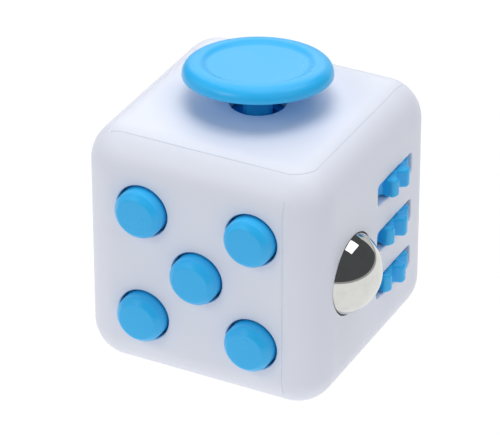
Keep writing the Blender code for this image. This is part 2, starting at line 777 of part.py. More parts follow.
def make_gears():
    for name, level in gear_levels().items():
        body = prism(gear_outline(), -GEAR_THICK / 2, GEAR_THICK / 2)
        place = (GEAR_X, GEAR_Y, level)
        gear = add_part("gear_" + name, body, BLUE_PLASTIC, place, (0, 0, GEAR_TURN[name]))
        bore = disc(GEAR_BORE, -GEAR_THICK, GEAR_THICK, SMALL_ROUND)
        combine(gear, "DIFFERENCE", "gear_bore_" + name, bore, place)


def make_gear_axle():
    low, high = AXLE_ENDS
    tip = AXLE_RADIUS - AXLE_BEVEL
    outline = [(0, low), (tip, low), (AXLE_RADIUS, low + AXLE_BEVEL)]
    outline += [(AXLE_RADIUS, high - AXLE_BEVEL), (tip, high), (0, high)]
    add_part("gear_axle", revolve(outline, SMALL_ROUND), STEEL, (GEAR_X, GEAR_Y, 0))
    half_gap = (GEAR_PITCH - GEAR_THICK) / 2 - GAP
    ring = [(GEAR_BORE, -half_gap), (SPACER_RADIUS, -half_gap)]
    ring += [(SPACER_RADIUS, half_gap), (GEAR_BORE, half_gap)]
    levels = (GEAR_Z - GEAR_PITCH / 2, GEAR_Z + GEAR_PITCH / 2)
    places = [((GEAR_X, GEAR_Y, level), UP) for level in levels]
    spacer = revolve(ring, SMALL_ROUND)
    add_copies(["gear_spacer_lower", "gear_spacer_upper"], spacer, NATURAL_PLASTIC, places)
    levels = (ARM_LEVELS["lower"][0] - GAP - CLIP_THICK, ARM_LEVELS["upper"][1] + GAP)
    places = [((GEAR_X, GEAR_Y, level), UP) for level in levels]
    mouth = CLIP_MOUTH_DEG
    clip = arc((0, 0), CLIP_RADIUS, mouth, 360 - mouth, 14) + arc((0, 0), GEAR_BORE, 360 - mouth, mouth, 14)
    add_copies(["axle_clip_lower", "axle_clip_upper"], prism(clip, 0, CLIP_THICK), STEEL, places)


def make_axle_brackets():
    """Two wall brackets that carry the axle, above and below the cog wheels."""
    screws = []
    for name, (low, high) in ARM_LEVELS.items():
        nose = arc((GEAR_X, GEAR_Y), ARM_HALF_WIDTH, 270, 90, 8)
        root_x = FOOT_FACE[0] + FLANGE_SINK
        root = [(root_x, GEAR_Y + ARM_HALF_WIDTH), (root_x, GEAR_Y - ARM_HALF_WIDTH)]
        bracket = add_part("axle_bracket_" + name, prism(nose + root, low, high), ZINC)
        flange_low, flange_high = FLANGE_LEVELS[name]
        flange = block((FOOT_FACE[0], FLANGE_Y[0], flange_low), (FOOT_FACE[1], FLANGE_Y[1], flange_high))
        combine(bracket, "UNION", "axle_flange_" + name, flange)
        holes = [(disc(GEAR_BORE, low - PAST, high + PAST, SMALL_ROUND), shift(GEAR_X, GEAR_Y, 0))]
        middle_z = (flange_low + flange_high) / 2
        for y in AXLE_SCREW_Y:
            hole = disc(SCREW_HOLE, -PAST, WALL, TINY_ROUND)
            holes.append((hole, facing(RIGHT, FOOT_FACE[0], y, middle_z)))
            screws.append(((FOOT_FACE[0] - GAP, y, middle_z), LEFT))
        combine(bracket, "DIFFERENCE", "axle_holes_" + name, gather(holes))
    add_screws("axle_bracket_screw", WALL_SCREW, screws)


# ---- top module ------------------------------------------------------------------------------
def glide_outline():
    """Disc and stem of the thumb glide, measured up from the top face."""
    lip = []
    steps = 5
    for step in range(steps + 1):
        angle = math.pi / 2 * step / steps
        radius = DISC_CREST_RADIUS + (DISC_RADIUS - DISC_CREST_RADIUS) * math.sin(angle)
        lip.append((radius, DISC_EQUATOR + (DISC_CREST - DISC_EQUATOR) * math.cos(angle)))
    lip_height = DISC_EQUATOR - DISC_UNDERSIDE
    neck = STEM_RADIUS + 0.8 * lip_height
    stem_end = SLIDER_LEVELS[0] - SIDE
    floor = [(0, DISC_FLOOR), (DISC_FLOOR_RADIUS, DISC_FLOOR)]
    return floor + lip + [
        (DISC_RADIUS - 0.4 * lip_height, DISC_EQUATOR - 0.7 * lip_height),
        (DISC_RADIUS - 1.5 * lip_height, DISC_UNDERSIDE),
        (neck, DISC_UNDERSIDE),
        (STEM_RADIUS, DISC_UNDERSIDE - 0.7 * lip_height),
        (STEM_RADIUS, stem_end),
        (SCREW_HOLE, stem_end),
        (SCREW_HOLE, DISC_SOCKET),
        (0, DISC_SOCKET),
    ]


def make_glide():
    """Thumb disc on a two-way slide: the slider runs along X, the foot along Y under it."""
    top = (0, 0, SIDE)
    lean_axis = (math.cos(LEAN_AZIMUTH), math.sin(LEAN_AZIMUTH), 0)
    lean = Matrix.Rotation(-LEAN, 3, lean_axis).to_euler()
    pivot = add_pivot("glide_tilt_pivot", (0, 0, LEAN_LEVEL), lean)
    face = (0, 0, SIDE - LEAN_LEVEL)
    cap = add_part("glide_cap", revolve(glide_outline(), LARGE_ROUND), BLUE_PLASTIC, face)
    cap.parent = pivot
    head = (0, 0, FOOT_LEVELS[0] - GAP - LEAN_LEVEL)
    foot_screw = add_part("glide_foot_screw", screw(FOOT_SCREW), ZINC, head, DOWN)
    foot_screw.parent = pivot
    low, high = SLIDER_LEVELS
    plate = prism(rounded_rectangle(*SLIDER_HALF, SLIDER_CORNER, 3), low - SIDE, high - SIDE)
    slider = add_part("glide_slider", plate, BLUE_PLASTIC, top)
    slot_half = STEM_RADIUS + STEM_PLAY
    slot = rounded_rectangle(slot_half, slot_half + GLIDE_TRAVEL, slot_half - STEM_PLAY / 2, 4)
    combine(slider, "DIFFERENCE", "glide_slot", prism(slot, low - SIDE - PAST, high - SIDE + PAST), top)
    low, high = FOOT_LEVELS
    foot = [(SCREW_HOLE, low - SIDE), (FOOT_RADIUS - FOOT_BEVEL, low - SIDE)]
    foot += [(FOOT_RADIUS, low + FOOT_BEVEL - SIDE), (FOOT_RADIUS, high - SIDE), (SCREW_HOLE, high - SIDE)]
    add_part("glide_foot", revolve(foot), NATURAL_PLASTIC, top)
    make_glide_spring()
    make_glide_base()


def make_glide_spring():
    """Flat spiral that brings the disc back to the middle."""
    points = []
    steps = 27
    for step in range(steps + 1):
        share = step / steps
        angle = math.tau * SPIRAL_TURNS * share
        radius = SPIRAL_RADII[0] + (SPIRAL_RADII[1] - SPIRAL_RADII[0]) * share
        points.append((radius * math.cos(angle), radius * math.sin(angle), 0))
    add_part("glide_spring", wire(points, WIRE_RADIUS), STEEL, (0, 0, SPIRAL_LEVEL))


def make_glide_base():
    """Open box under the top panel that guides the slider, and its four screws."""
    low, high = BASE_LEVELS
    outline = rounded_rectangle(*BASE_HALF, BASE_CORNER, 3)
    base = add_part("glide_base", prism(outline, low, high), GREY_PLASTIC)
    pocket = prism(rounded_rectangle(*BASE_POCKET, SLIDER_CORNER, 3), BASE_FLOOR, high + PAST)
    cuts = [(pocket, Matrix.Identity(4))]
    screws = []
    for x in (-BASE_SCREWS[0], BASE_SCREWS[0]):
        for y in (-BASE_SCREWS[1], BASE_SCREWS[1]):
            cuts.append((disc(SCREW_HOLE, low - PAST, high + PAST, TINY_ROUND), shift(x, y, 0)))
            screws.append(((x, y, low - GAP), DOWN))
    combine(base, "DIFFERENCE", "glide_base_cuts", gather(cuts))
    add_screws("glide_base_screw", BASE_SCREW, screws)


# ---- left module -------------------------------------------------------------------------------
def make_dial():
    """Spinning dial with a finger nub, on a bushing, washer and screw."""
    place = (-HALF, 0, CENTRE_Z)
    flat, rim = DIAL_DISH_RADII
    dish = DIAL_RISE - DIAL_DISH
    face = [(0, dish), (flat, dish), (rim, DIAL_RISE - DIAL_DISH / 7)]
    face += arc((DIAL_RADIUS - DIAL_EDGE, DIAL_RISE - DIAL_EDGE), DIAL_EDGE, 90, 0, 3)
    back = [(DIAL_RADIUS, DIAL_BACK), (HUB_RADIUS, DIAL_BACK), (HUB_RADIUS, HUB_END)]
    back += [(SCREW_HOLE, HUB_END), (SCREW_HOLE, DIAL_SOCKET), (0, DIAL_SOCKET)]
    dial = add_part("dial", revolve(face + back, LARGE_ROUND), BLUE_PLASTIC, place, LEFT)
    nub = [(0, 0), (NUB_RADIUS + NUB_FLARE, 0), (NUB_RADIUS, DIAL_RISE + NUB_FLARE)]
    nub += arc((NUB_RADIUS - NUB_ROUND, NUB_RISE - NUB_ROUND), NUB_ROUND, 0, 80, 4) + [(0, NUB_RISE)]
    combine(dial, "UNION", "dial_nub", revolve(nub, SMALL_ROUND), (-HALF, 0, CENTRE_Z - NUB_OFFSET), LEFT)
    top, bottom = DIAL_FLOOR
    flange = bottom - GAP
    sleeve_end = flange - BUSHING_FLANGE_THICK
    sleeve = [(BUSHING_BORE, top), (BUSHING_RADIUS, top), (BUSHING_RADIUS, flange)]
    sleeve += [(BUSHING_FLANGE, flange), (BUSHING_FLANGE, sleeve_end), (BUSHING_BORE, sleeve_end)]
    add_part("dial_bushing", revolve(sleeve), BRASS, place, LEFT)
    washer_top = HUB_END - GAP
    washer_low = washer_top - WASHER_THICK
    ring = [(SCREW_HOLE, washer_top), (WASHER_RADIUS, washer_top)]
    ring += [(WASHER_RADIUS, washer_low), (SCREW_HOLE, washer_low)]
    add_part("dial_washer", revolve(ring), STEEL, place, LEFT)
    head_x = -HALF - washer_low + GAP
    add_part("dial_screw", screw(DIAL_SCREW), ZINC, (head_x, 0, CENTRE_Z), RIGHT)


# ---- back module --------------------------------------------------------------------------------
def make_rocker():
    """Rocker switch at rest on one stop, its pin, frame and detent spring."""
    pivot = (0, ROCKER_PIVOT_Y, CENTRE_Z)
    # The outline's x becomes world Y and its y becomes world Z, extruded along world X.
    upright = Matrix(((0, 0, 1, 0), (1, 0, 0, 0), (0, 1, 0, 0), (0, 0, 0, 1)))
    body = prism(rocker_outline(), -ROCKER_HALF_WIDTH, ROCKER_HALF_WIDTH)
    body.transform(upright)
    rocker = add_part("rocker", body, BLUE_PLASTIC, pivot, (ROCKER_TILT, 0, 0))
    bore = disc(PIN_BORE, -PIN_HALF_LENGTH, PIN_HALF_LENGTH, SMALL_ROUND)
    combine(rocker, "DIFFERENCE", "rocker_bore", bore, pivot, RIGHT)
    pin = disc(PIN_RADIUS, -PIN_HALF_LENGTH, PIN_HALF_LENGTH, SMALL_ROUND)
    add_part("rocker_pin", pin, STEEL, pivot, RIGHT)
    make_rocker_frame(pivot)
    strip = []
    steps = 8
    for side in (-0.5, 0.5):
        edge = []
        for step in range(steps + 1):
            z = -LEAF_HALF_LENGTH + 2 * LEAF_HALF_LENGTH * step / steps
            bow = LEAF_RISE * (1 - (z / LEAF_HALF_LENGTH) ** 2)
            edge.append((LEAF_Y + bow + side * LEAF_THICK, z))
        strip += edge if side < 0 else edge[::-1]
    leaf = prism(strip, -LEAF_HALF_WIDTH, LEAF_HALF_WIDTH)
    leaf.transform(upright)
    add_part("detent_leaf", leaf, STEEL, (0, 0, CENTRE_Z))


def make_rocker_frame(pivot):
    """Open box inside the back wall that holds the pin and the detent leaf."""
    low, high = FRAME_Y
    half_x, half_z = FRAME_HALF
    centre = (0, 0, CENTRE_Z)
    box = block((-half_x, low, -half_z), (half_x, high, half_z))
    frame = add_part("rocker_frame", box, GREY_PLASTIC, centre)
    tab_low = (-FRAME_TAB_HALF_WIDTH, high - FRAME_TAB_THICK, -FRAME_TAB)
    combine(frame, "UNION", "rocker_frame_tabs", block(tab_low, (-tab_low[0], high, FRAME_TAB)), centre)
    pocket_x, pocket_z = FRAME_POCKET
    pocket = block((-pocket_x, FRAME_FLOOR, -pocket_z), (pocket_x, high + PAST, pocket_z))
    combine(frame, "DIFFERENCE", "rocker_frame_pocket", pocket, centre)
    bore = disc(PIN_BORE, -half_x - PAST, half_x + PAST, SMALL_ROUND)
    combine(frame, "DIFFERENCE", "rocker_frame_bore", bore, pivot, RIGHT)
    holes = []
    screws = []
    for side in (-1, 1):
        z = CENTRE_Z + side * FRAME_SCREW_Z
        holes.append((disc(SCREW_HOLE, -2 * FRAME_TAB_THICK, PAST, TINY_ROUND), facing(BACK, 0, high, z)))
        screws.append(((0, high - FRAME_TAB_THICK - GAP, z), FRONT))
    combine(frame, "DIFFERENCE", "rocker_frame_holes", gather(holes))
    add_screws("rocker_frame_screw", FRAME_SCREW, screws)


def main():
    for item in list(bpy.data.objects):
        bpy.data.objects.remove(item, do_unlink=True)
    make_top_panel()
    make_bottom_panel()
    make_front_left_shell()
    make_right_back_shell()
    make_buttons()
    make_button_plate()
    make_ball()
    make_gears()
    make_gear_axle()
    make_axle_brackets()
    make_glide()
    make_dial()
    make_rocker()


main()
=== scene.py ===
"""Looks of the fidget cube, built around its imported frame.

Every outer piece is remade as a fine mesh in the place that its CAD node holds.  The inner
pieces keep their CAD shapes and get finishes.  Lengths are in millimetres until an object is
made; the studio is in metres.
"""
import json
import math

import bmesh
import bpy
from mathutils import Matrix, Vector


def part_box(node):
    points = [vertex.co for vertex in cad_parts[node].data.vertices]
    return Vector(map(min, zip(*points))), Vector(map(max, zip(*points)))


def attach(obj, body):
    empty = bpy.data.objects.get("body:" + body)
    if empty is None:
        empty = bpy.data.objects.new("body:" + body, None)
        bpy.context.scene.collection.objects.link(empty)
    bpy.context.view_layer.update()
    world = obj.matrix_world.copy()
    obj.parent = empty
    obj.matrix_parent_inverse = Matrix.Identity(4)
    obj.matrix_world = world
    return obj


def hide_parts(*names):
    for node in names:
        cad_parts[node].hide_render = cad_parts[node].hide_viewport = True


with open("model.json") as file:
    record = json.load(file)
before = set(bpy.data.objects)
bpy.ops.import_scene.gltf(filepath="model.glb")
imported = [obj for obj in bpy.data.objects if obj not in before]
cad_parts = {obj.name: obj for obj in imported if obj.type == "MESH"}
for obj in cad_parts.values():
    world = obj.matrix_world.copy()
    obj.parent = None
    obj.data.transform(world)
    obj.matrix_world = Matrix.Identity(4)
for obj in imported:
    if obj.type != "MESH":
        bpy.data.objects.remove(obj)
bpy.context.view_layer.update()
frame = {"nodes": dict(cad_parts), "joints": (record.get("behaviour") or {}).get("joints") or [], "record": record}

MM = 0.001


# ---- places and sizes read from the frame --------------------------------------------------
def box_mm(node):
    low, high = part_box(node)
    return low / MM, high / MM


def centre_mm(node):
    low, high = box_mm(node)
    return (low + high) / 2


def joint_named(name):
    return next(joint for joint in frame["joints"] if joint["name"] == name)


SIDE = box_mm("top_panel")[1].z
HALF = SIDE / 2
BALL = centre_mm("roll_ball")
BALL_RADIUS = (box_mm("roll_ball")[1] - box_mm("roll_ball")[0]).z / 2
DISC_JOINT = joint_named("glide_tilt")
ROCKER_JOINT = joint_named("rocker_flip")

# ---- case ----------------------------------------------------------------------------------
EDGE_RADIUS = 5.07
WALL = 1.6
PANEL_HALF = 13.57
PANEL_CORNER = 2.8
PANEL_SHARP_CORNER = 0.5
CORNER_SEAM_X = 11.7
GROOVE = 0.085          # radius of the groove that a seam shows as
SEAM_SPACING = 0.5      # between the points of a panel's groove
PAST = 1.0              # how far a cutter reaches past what it cuts
CASE_STEPS = 18
CAVITY_STEPS = 6

# ---- worry-stone hollow --------------------------------------------------------------------
HOLLOW_HALF = (8.0, 6.0)
HOLLOW_DEPTH = 2.6
HOLLOW_CURVE = 6.0
HOLLOW_SKIN = 1.4
# The bowl's mouth: (share of the hollow's half size, height) from outside inward.
HOLLOW_MOUTH = ((1.06, -PAST), (1.06, -0.02), (1.02, 0.03))

# ---- push buttons --------------------------------------------------------------------------
BUTTONS = ("ul", "ur", "centre", "ll", "lr")
BUTTON_HOLE = 3.49
BUTTON_HOLE_LIP = 0.16
BUTTON_RADIUS = 3.2
BUTTON_FACE = 2.45      # radius of the flat face
BUTTON_CROWN = 0.04     # drop from the face's middle to its edge
BUTTON_BEVEL = 0.75     # drop from the face's middle to the bevel's foot
BUTTON_DRAFT = 0.06
FLANGE_RADIUS = 4.0
FLANGE_OUTER = -1.9
FLANGE_INNER = -2.7
PLUNGER_RADIUS = 1.2
PLUNGER_END = -3.4

# ---- ball, cog wheels and their slots ------------------------------------------------------
SEAT_RADIUS = BALL_RADIUS + 0.15
SEAT_SWEEP = 87         # degrees from the seat's equator to where its poles are closed
BALL_CUTS = 31
GEAR_TEETH = 11
GEAR_TIP = 5.9
GEAR_ROOT = 4.4
GEAR_BORE = 1.4
GEAR_EDGE = 0.42
TOOTH_TIP_HALF = 0.6
TOOTH_TIP_ROUND = 0.55
TOOTH_ROOT_HALF = 1.0
TOOTH_ROOT_ROUND = 0.3
GEAR_TURN = {"upper": 13.5, "middle": 7, "lower": 4.3}   # degrees each wheel rests turned by
SLOT_HALF = (1.5, 4.9)
SLOT_RELIEF = (1.5, 5.45)
SLOT_CORNER = 0.6
SLOT_DEPTH = 0.7
SLOT_LIP = 0.2

# ---- thumb disc ----------------------------------------------------------------------------
GLIDE_HOLE = 3.57
GLIDE_HOLE_LIP = 0.14
STEM_RADIUS = 1.85
STEM_END = -3.5
SHANK_HOLE = 0.8        # screw hole in the stem's end, and in the dial's hub
SHANK_HOLE_TOP = -1.0
DISC_RADIUS = 9.4
DISC_EQUATOR = 3.55
DISC_CREST_RADIUS = 7.3
DISC_CREST = 5.22
DISC_FLOOR_RADIUS = 6.1
DISC_FLOOR = 4.8
DISC_UNDERSIDE = 3.2
DISC_UNDERCUT = 1.2     # how far in from the rim the flat underside starts
DISC_FULLNESS = 2.3     # exponent of the rim's section: 2 is an ellipse, more is squarer
DISC_LEAN = math.radians(6)
STEM_FLARE = (0.6, 0.5)

# ---- dial ----------------------------------------------------------------------------------
DIAL_RECESS = 9.8
DIAL_RECESS_LIP = 0.25
DIAL_FLOOR = (-1.3, -2.9)
DIAL_FLOOR_RADIUS = 10.8
DIAL_BORE = 2.9
DIAL_RADIUS = 9.5
DIAL_RISE = 0.7
DIAL_DISH = 0.35        # how far the middle lies below the rim
DIAL_DISH_FLAT = 4.0
DIAL_DISH_RADIUS = 7.6
DIAL_BACK = -1.0
HUB_RADIUS = 1.6
HUB_END = -4.2
HUB_HOLE_END = DIAL_BACK - 0.6
NUB_OFFSET = 6.1
NUB_RADIUS = 1.9
NUB_RISE = 2.9
NUB_FOOT = 0.9          # how far the nub's foot spreads past its side
NUB_FOOT_RISE = (0.36, 0.42)

# ---- rocker --------------------------------------------------------------------------------
ROCKER_TILT = math.radians(11)
ROCKER_HALF = (4.4, 7.3)
ROCKER_FACE = 4.4
ROCKER_DIP = 0.7
ROCKER_SKIRT = 0.9
ROCKER_HUB = 2.0
ROCKER_EDGE = 0.45
ROCKER_OPENING = (4.7, 8.3)
ROCKER_OPENING_CORNER = 0.9
ROCKER_OPENING_LIP = 0.2
PIN_BORE = 1.0

# ---- studio, in metres and watts -----------------------------------------------------------
PAPER_GREY = 0.08
PAPER_GLOW = 0.95
FAR_GLOW = 0.35
TABLE_EDGE = (0.17, 0.26)
FLOOR_REACH = 4.0
SWEEP_GLOW = 0.7
SWEEP_BACK = 1.3
SWEEP_LEFT = -1.6
SWEEP_RIGHT_FOOT = 0.55
SWEEP_RIGHT_TOP = 0.25
SWEEP_TOP = SWEEP_BACK * math.tan(math.radians(24))
STUDIO_DARK = (0.085, 0.09, 0.095)
UPWARD = (0, 0, 1)
# Each light: name, direction it stands in, distance, (width, height), power, way its height runs.
SOFTBOXES = (
    ("key_softbox", (0.396, 0.34, 0.853), 0.5, (0.16, 0.32), 0.3, (-0.15, 0.59, -0.19)),
    ("left_softbox", (-0.39, -0.71, 0.585), 0.6, (0.22, 0.22), 0.55, UPWARD),
    ("back_softbox", (-0.33, 0.6, 0.73), 0.7, (0.6, 0.8), 1.85, UPWARD),
    ("side_softbox", (-0.9, -0.3, 0.45), 0.6, (0.5, 0.5), 0.45, UPWARD),
)
FILLS = (
    ("top_fill", (0, 0, 1), 0.6, (0.36, 0.36), 1.6, (0, 1, 0)),
    ("front_fill", (-0.2, -0.9, 0.45), 0.6, (0.4, 0.4), 0.3, UPWARD),
    ("right_fill", (0.85, -0.25, 0.65), 0.6, (0.4, 0.4), 0.65, UPWARD),
)

# ---- camera --------------------------------------------------------------------------------
# Its distance, and its drop below the line through the cube's middle, are in millimetres.
CAMERA_AZIMUTH = math.radians(27.03)
CAMERA_ELEVATION = math.radians(31.02)
CAMERA_DISTANCE = 457.7
CAMERA_DROP = 0.712
CAMERA_LENS = 262.7
CAMERA_SHIFT = (-0.0158, 0.0087)


# ---- directions: local +Z points out of each face ------------------------------------------
def at(x, y, z, turn=Matrix.Identity(4)):
    return Matrix.Translation((x, y, z)) @ turn


UP = Matrix.Identity(4)
FRONT = Matrix.Rotation(math.radians(90), 4, "X")
BACK = Matrix.Rotation(math.radians(-90), 4, "X")
RIGHT = Matrix.Rotation(math.radians(90), 4, "Y")
LEFT = Matrix.Rotation(math.radians(-90), 4, "Y")
LEFT_FACE = at(-HALF, 0, HALF, LEFT)
BACK_FACE = at(0, HALF, HALF, BACK)
TOP_FACE = at(0, 0, SIDE)


# ---- outlines ------------------------------------------------------------------------------
def arc(centre, radius, start_deg, end_deg, steps):
    points = []
    for step in range(steps + 1):
        angle = math.radians(start_deg + (end_deg - start_deg) * step / steps)
        x = centre[0] + radius * math.cos(angle)
        y = centre[1] + radius * math.sin(angle)
        points.append((x, y))
    return points


def rounded_rectangle(half_x, half_y, radius, steps):
    x = half_x - radius
    y = half_y - radius
    points = []
    for centre, start in (((x, y), 0), ((-x, y), 90), ((-x, -y), 180), ((x, -y), 270)):
        points += arc(centre, radius, start, start + 90, steps)
    return points


def straight_filled(outline, spacing):
    """Closed outline with extra points along its long straight parts."""
    points = []
    for start, end in zip(outline, outline[1:] + outline[:1]):
        count = max(1, round(math.dist(start, end) / spacing))
        for index in range(count):
            share = index / count
            x = start[0] + share * (end[0] - start[0])
            y = start[1] + share * (end[1] - start[1])
            points.append((x, y))
    return points


def circle(radius, segments=96):
    points = []
    for step in range(segments):
        angle = math.tau * step / segments
        points.append((radius * math.cos(angle), radius * math.sin(angle)))
    return points


def soften(corners, closed, steps):
    """Replace each (x, y, radius) corner by an arc of that radius, tangent to both its sides."""
    most_of_side = 0.48
    points = []
    count = len(corners)
    for index, (x, y, radius) in enumerate(corners):
        here = Vector((x, y))
        is_end = not closed and index in (0, count - 1)
        if radius <= 0 or is_end:
            points.append((x, y))
            continue
        back = Vector(corners[index - 1][:2]) - here
        ahead = Vector(corners[(index + 1) % count][:2]) - here
        half = back.angle(ahead) / 2
        longest = most_of_side * min(back.length, ahead.length)
        reach = min(radius / math.tan(half), longest)
        radius = reach * math.tan(half)
        back.normalize()
        ahead.normalize()
        middle = here + (back + ahead).normalized() * (radius / math.sin(half))
        first = here + back * reach - middle
        last = here + ahead * reach - middle
        sweep = math.atan2(first.x * last.y - first.y * last.x, first.dot(last))
        for step in range(steps + 1):
            spoke = Matrix.Rotation(sweep * step / steps, 2) @ first
            points.append((middle.x + spoke.x, middle.y + spoke.y))
    return points


def offset(outline, distance):
    """Move each point of a counter-clockwise outline outward along its normal."""
    least_stretch = 0.5
    moved = []
    count = len(outline)
    for index, point in enumerate(outline):
        before = Vector(outline[index - 1])
        after = Vector(outline[(index + 1) % count])
        here = Vector(point)
        first = (here - before).normalized()
        second = (after - here).normalized()
        normal = Vector((first.y + second.y, -first.x - second.x)).normalized()
        stretch = max(least_stretch, normal.dot(Vector((second.y, -second.x))))
        moved.append(tuple(here + normal * distance / stretch))
    return moved


# ---- bodies, in millimetres ----------------------------------------------------------------
def loft(sections):
    """Closed skin through (outline, height) sections that have the same number of points."""
    bm = bmesh.new()
    rings = []
    for outline, height in sections:
        rings.append([bm.verts.new((x, y, height)) for x, y in outline])
    for low, high in zip(rings, rings[1:]):
        count = len(low)
        for index in range(count):
            after = (index + 1) % count
            bm.faces.new([low[index], low[after], high[after], high[index]])
    bm.faces.new(rings[0][::-1])
    bm.faces.new(rings[-1])
    bmesh.ops.recalc_face_normals(bm, faces=bm.faces[:])
    return bm


def revolve(profile, segments=96):
    """Turn a profile of (radius, height) points, from pole to pole or as a ring, about local Z."""
    on_axis = 1e-6
    bm = bmesh.new()
    rings = []
    for radius, height in profile:
        if radius < on_axis:
            rings.append([bm.verts.new((0, 0, height))])
        else:
            rings.append([bm.verts.new((x, y, height)) for x, y in circle(radius, segments)])
    pairs = list(zip(rings, rings[1:]))
    if len(rings[0]) > 1:
        pairs.append((rings[-1], rings[0]))
    for low, high in pairs:
        for step in range(segments):
            after = (step + 1) % segments
            corners = [low[step % len(low)], low[after % len(low)]]
            corners += [high[after % len(high)], high[step % len(high)]]
            bm.faces.new(list(dict.fromkeys(corners)))
    bmesh.ops.recalc_face_normals(bm, faces=bm.faces[:])
    return bm


def soft_prism(outline, low, high, edge):
    """Extrusion of an outline whose two end edges are rounded by edge."""
    steps = 5
    rings = []
    for step in range(steps + 1):
        angle = math.pi / 2 * step / steps
        inset = edge * (1 - math.sin(angle))
        rings.append((offset(outline, -inset), edge * (1 - math.cos(angle))))
    sections = [(ring, low + rise) for ring, rise in rings]
    sections += [(ring, high - rise) for ring, rise in reversed(rings)]
    return loft(sections)


def prism(outline, low, high):
    return loft([(outline, low), (outline, high)])


def flared(outline, low, lip):
    """Cutter for a hole in a flat face at z = 0, with a mouth that leaves a rounded lip."""
    steps = 5
    lip_sweep = 84
    sections = [(outline, low)]
    for step in range(steps + 1):
        angle = math.radians(lip_sweep * step / steps)
        spread = lip * (1 - math.cos(angle))
        sections.append((offset(outline, spread), lip * (math.sin(angle) - 1)))
    sections.append((sections[-1][0], PAST))
    return loft(sections)


def rounded_cube(half, radius, segments):
    bm = bmesh.new()
    bmesh.ops.create_cube(bm, size=2 * half)
    edges = bm.edges[:]
    bmesh.ops.bevel(bm, geom=edges, offset=radius, segments=segments, profile=0.5, affect="EDGES")
    bmesh.ops.translate(bm, verts=bm.verts[:], vec=(0, 0, HALF))
    return bm


def tube(path, radius, closed):
    """Round bar along a path on the cube's surface."""
    sides = 8
    bm = bmesh.new()
    middle = Vector((0, 0, HALF))
    count = len(path)
    rings = []
    for index in range(count):
        before = index - 1 if closed else max(index - 1, 0)
        after = (index + 1) % count if closed else min(index + 1, count - 1)
        here = Vector(path[index])
        along = (Vector(path[after]) - Vector(path[before])).normalized()
        side = along.cross(here - middle).normalized()
        rise = side.cross(along)
        rings.append([bm.verts.new(here + x * side + y * rise) for x, y in circle(radius, sides)])
    following = rings[1:] + rings[:1] if closed else rings[1:]
    for low, high in zip(rings, following):
        for step in range(sides):
            after = (step + 1) % sides
            bm.faces.new([low[step], low[after], high[after], high[step]])
    if not closed:
        bm.faces.new(rings[0])
        bm.faces.new(rings[-1])
    bmesh.ops.recalc_face_normals(bm, faces=bm.faces[:])
    return bm


def gather(bodies):
    """Put several bodies, each moved by its own matrix, into one bmesh."""
    gathered = bmesh.new()
    for bm, matrix in bodies:
        bm.transform(matrix)
        scratch = bpy.data.meshes.new("scratch")
        bm.to_mesh(scratch)
        gathered.from_mesh(scratch)
        bpy.data.meshes.remove(scratch)
        bm.free()
    return gathered


# ---- finishes ------------------------------------------------------------------------------
class Nodes:
    """Short way to build one material's node tree."""

    def __init__(self, name):
        self.material = bpy.data.materials.new(name)
        self.material.use_nodes = True
        self.tree = self.material.node_tree
        self.shader = self.tree.nodes["Principled BSDF"].inputs
        self.place = self.add("ShaderNodeTexCoord").outputs["Object"]

    def add(self, kind):
        return self.tree.nodes.new(kind)

    def link(self, output, socket):
        self.tree.links.new(output, socket)

    def noise(self, size_mm, detail, stretch=(1, 1, 1)):
        """Noise whose features measure about size_mm."""
        mapping = self.add("ShaderNodeMapping")
        mapping.inputs["Scale"].default_value = stretch
        self.link(self.place, mapping.inputs["Vector"])
        node = self.add("ShaderNodeTexNoise")
        node.inputs["Scale"].default_value = 1 / (size_mm * MM)
        node.inputs["Detail"].default_value = detail
        self.link(mapping.outputs["Vector"], node.inputs["Vector"])
        return node.outputs["Fac"]

    def remap(self, value, low, high, span):
        """Turn the part of a value's range that span gives into low to high."""
        node = self.add("ShaderNodeMapRange")
        node.inputs["From Min"].default_value = span[0]
        node.inputs["From Max"].default_value = span[1]
        node.inputs["To Min"].default_value = low
        node.inputs["To Max"].default_value = high
        self.link(value, node.inputs["Value"])
        return node.outputs["Result"]

    def blend(self, factor, first, second):
        node = self.add("ShaderNodeMix")
        node.data_type = "RGBA"
        colours = [socket for socket in node.inputs if socket.type == "RGBA"]
        colours[0].default_value = (*first, 1)
        colours[1].default_value = (*second, 1)
        self.link(factor, node.inputs["Factor"])
        return next(socket for socket in node.outputs if socket.type == "RGBA")

    def relief(self, height, depth_mm, strength=1.0):
        node = self.add("ShaderNodeBump")
        node.inputs["Strength"].default_value = strength
        node.inputs["Distance"].default_value = depth_mm * MM
        self.link(height, node.inputs["Height"])
        return node.outputs["Normal"]


def moulded_plastic(name, colour, shade, roughness, grain_mm, grain_depth):
    """Injection-moulded plastic: faint tone drift, uneven sheen and a fine mould grain."""
    drift_mm = 5.0
    sheen_mm = 4.0
    sheen_drift = 0.06
    whole = (0.1, 0.9)
    nodes = Nodes(name)
    drift = nodes.remap(nodes.noise(drift_mm, 3.0), 0.0, 1.0, whole)
    nodes.link(nodes.blend(drift, colour, shade), nodes.shader["Base Color"])
    patches = nodes.noise(sheen_mm, 4.0)
    sheen = nodes.remap(patches, roughness - sheen_drift, roughness + sheen_drift, whole)
    nodes.link(sheen, nodes.shader["Roughness"])
    grain = nodes.noise(grain_mm, 3.0)
    nodes.link(nodes.relief(grain, grain_depth), nodes.shader["Normal"])
    nodes.shader["Specular IOR Level"].default_value = 0.45
    return nodes.material


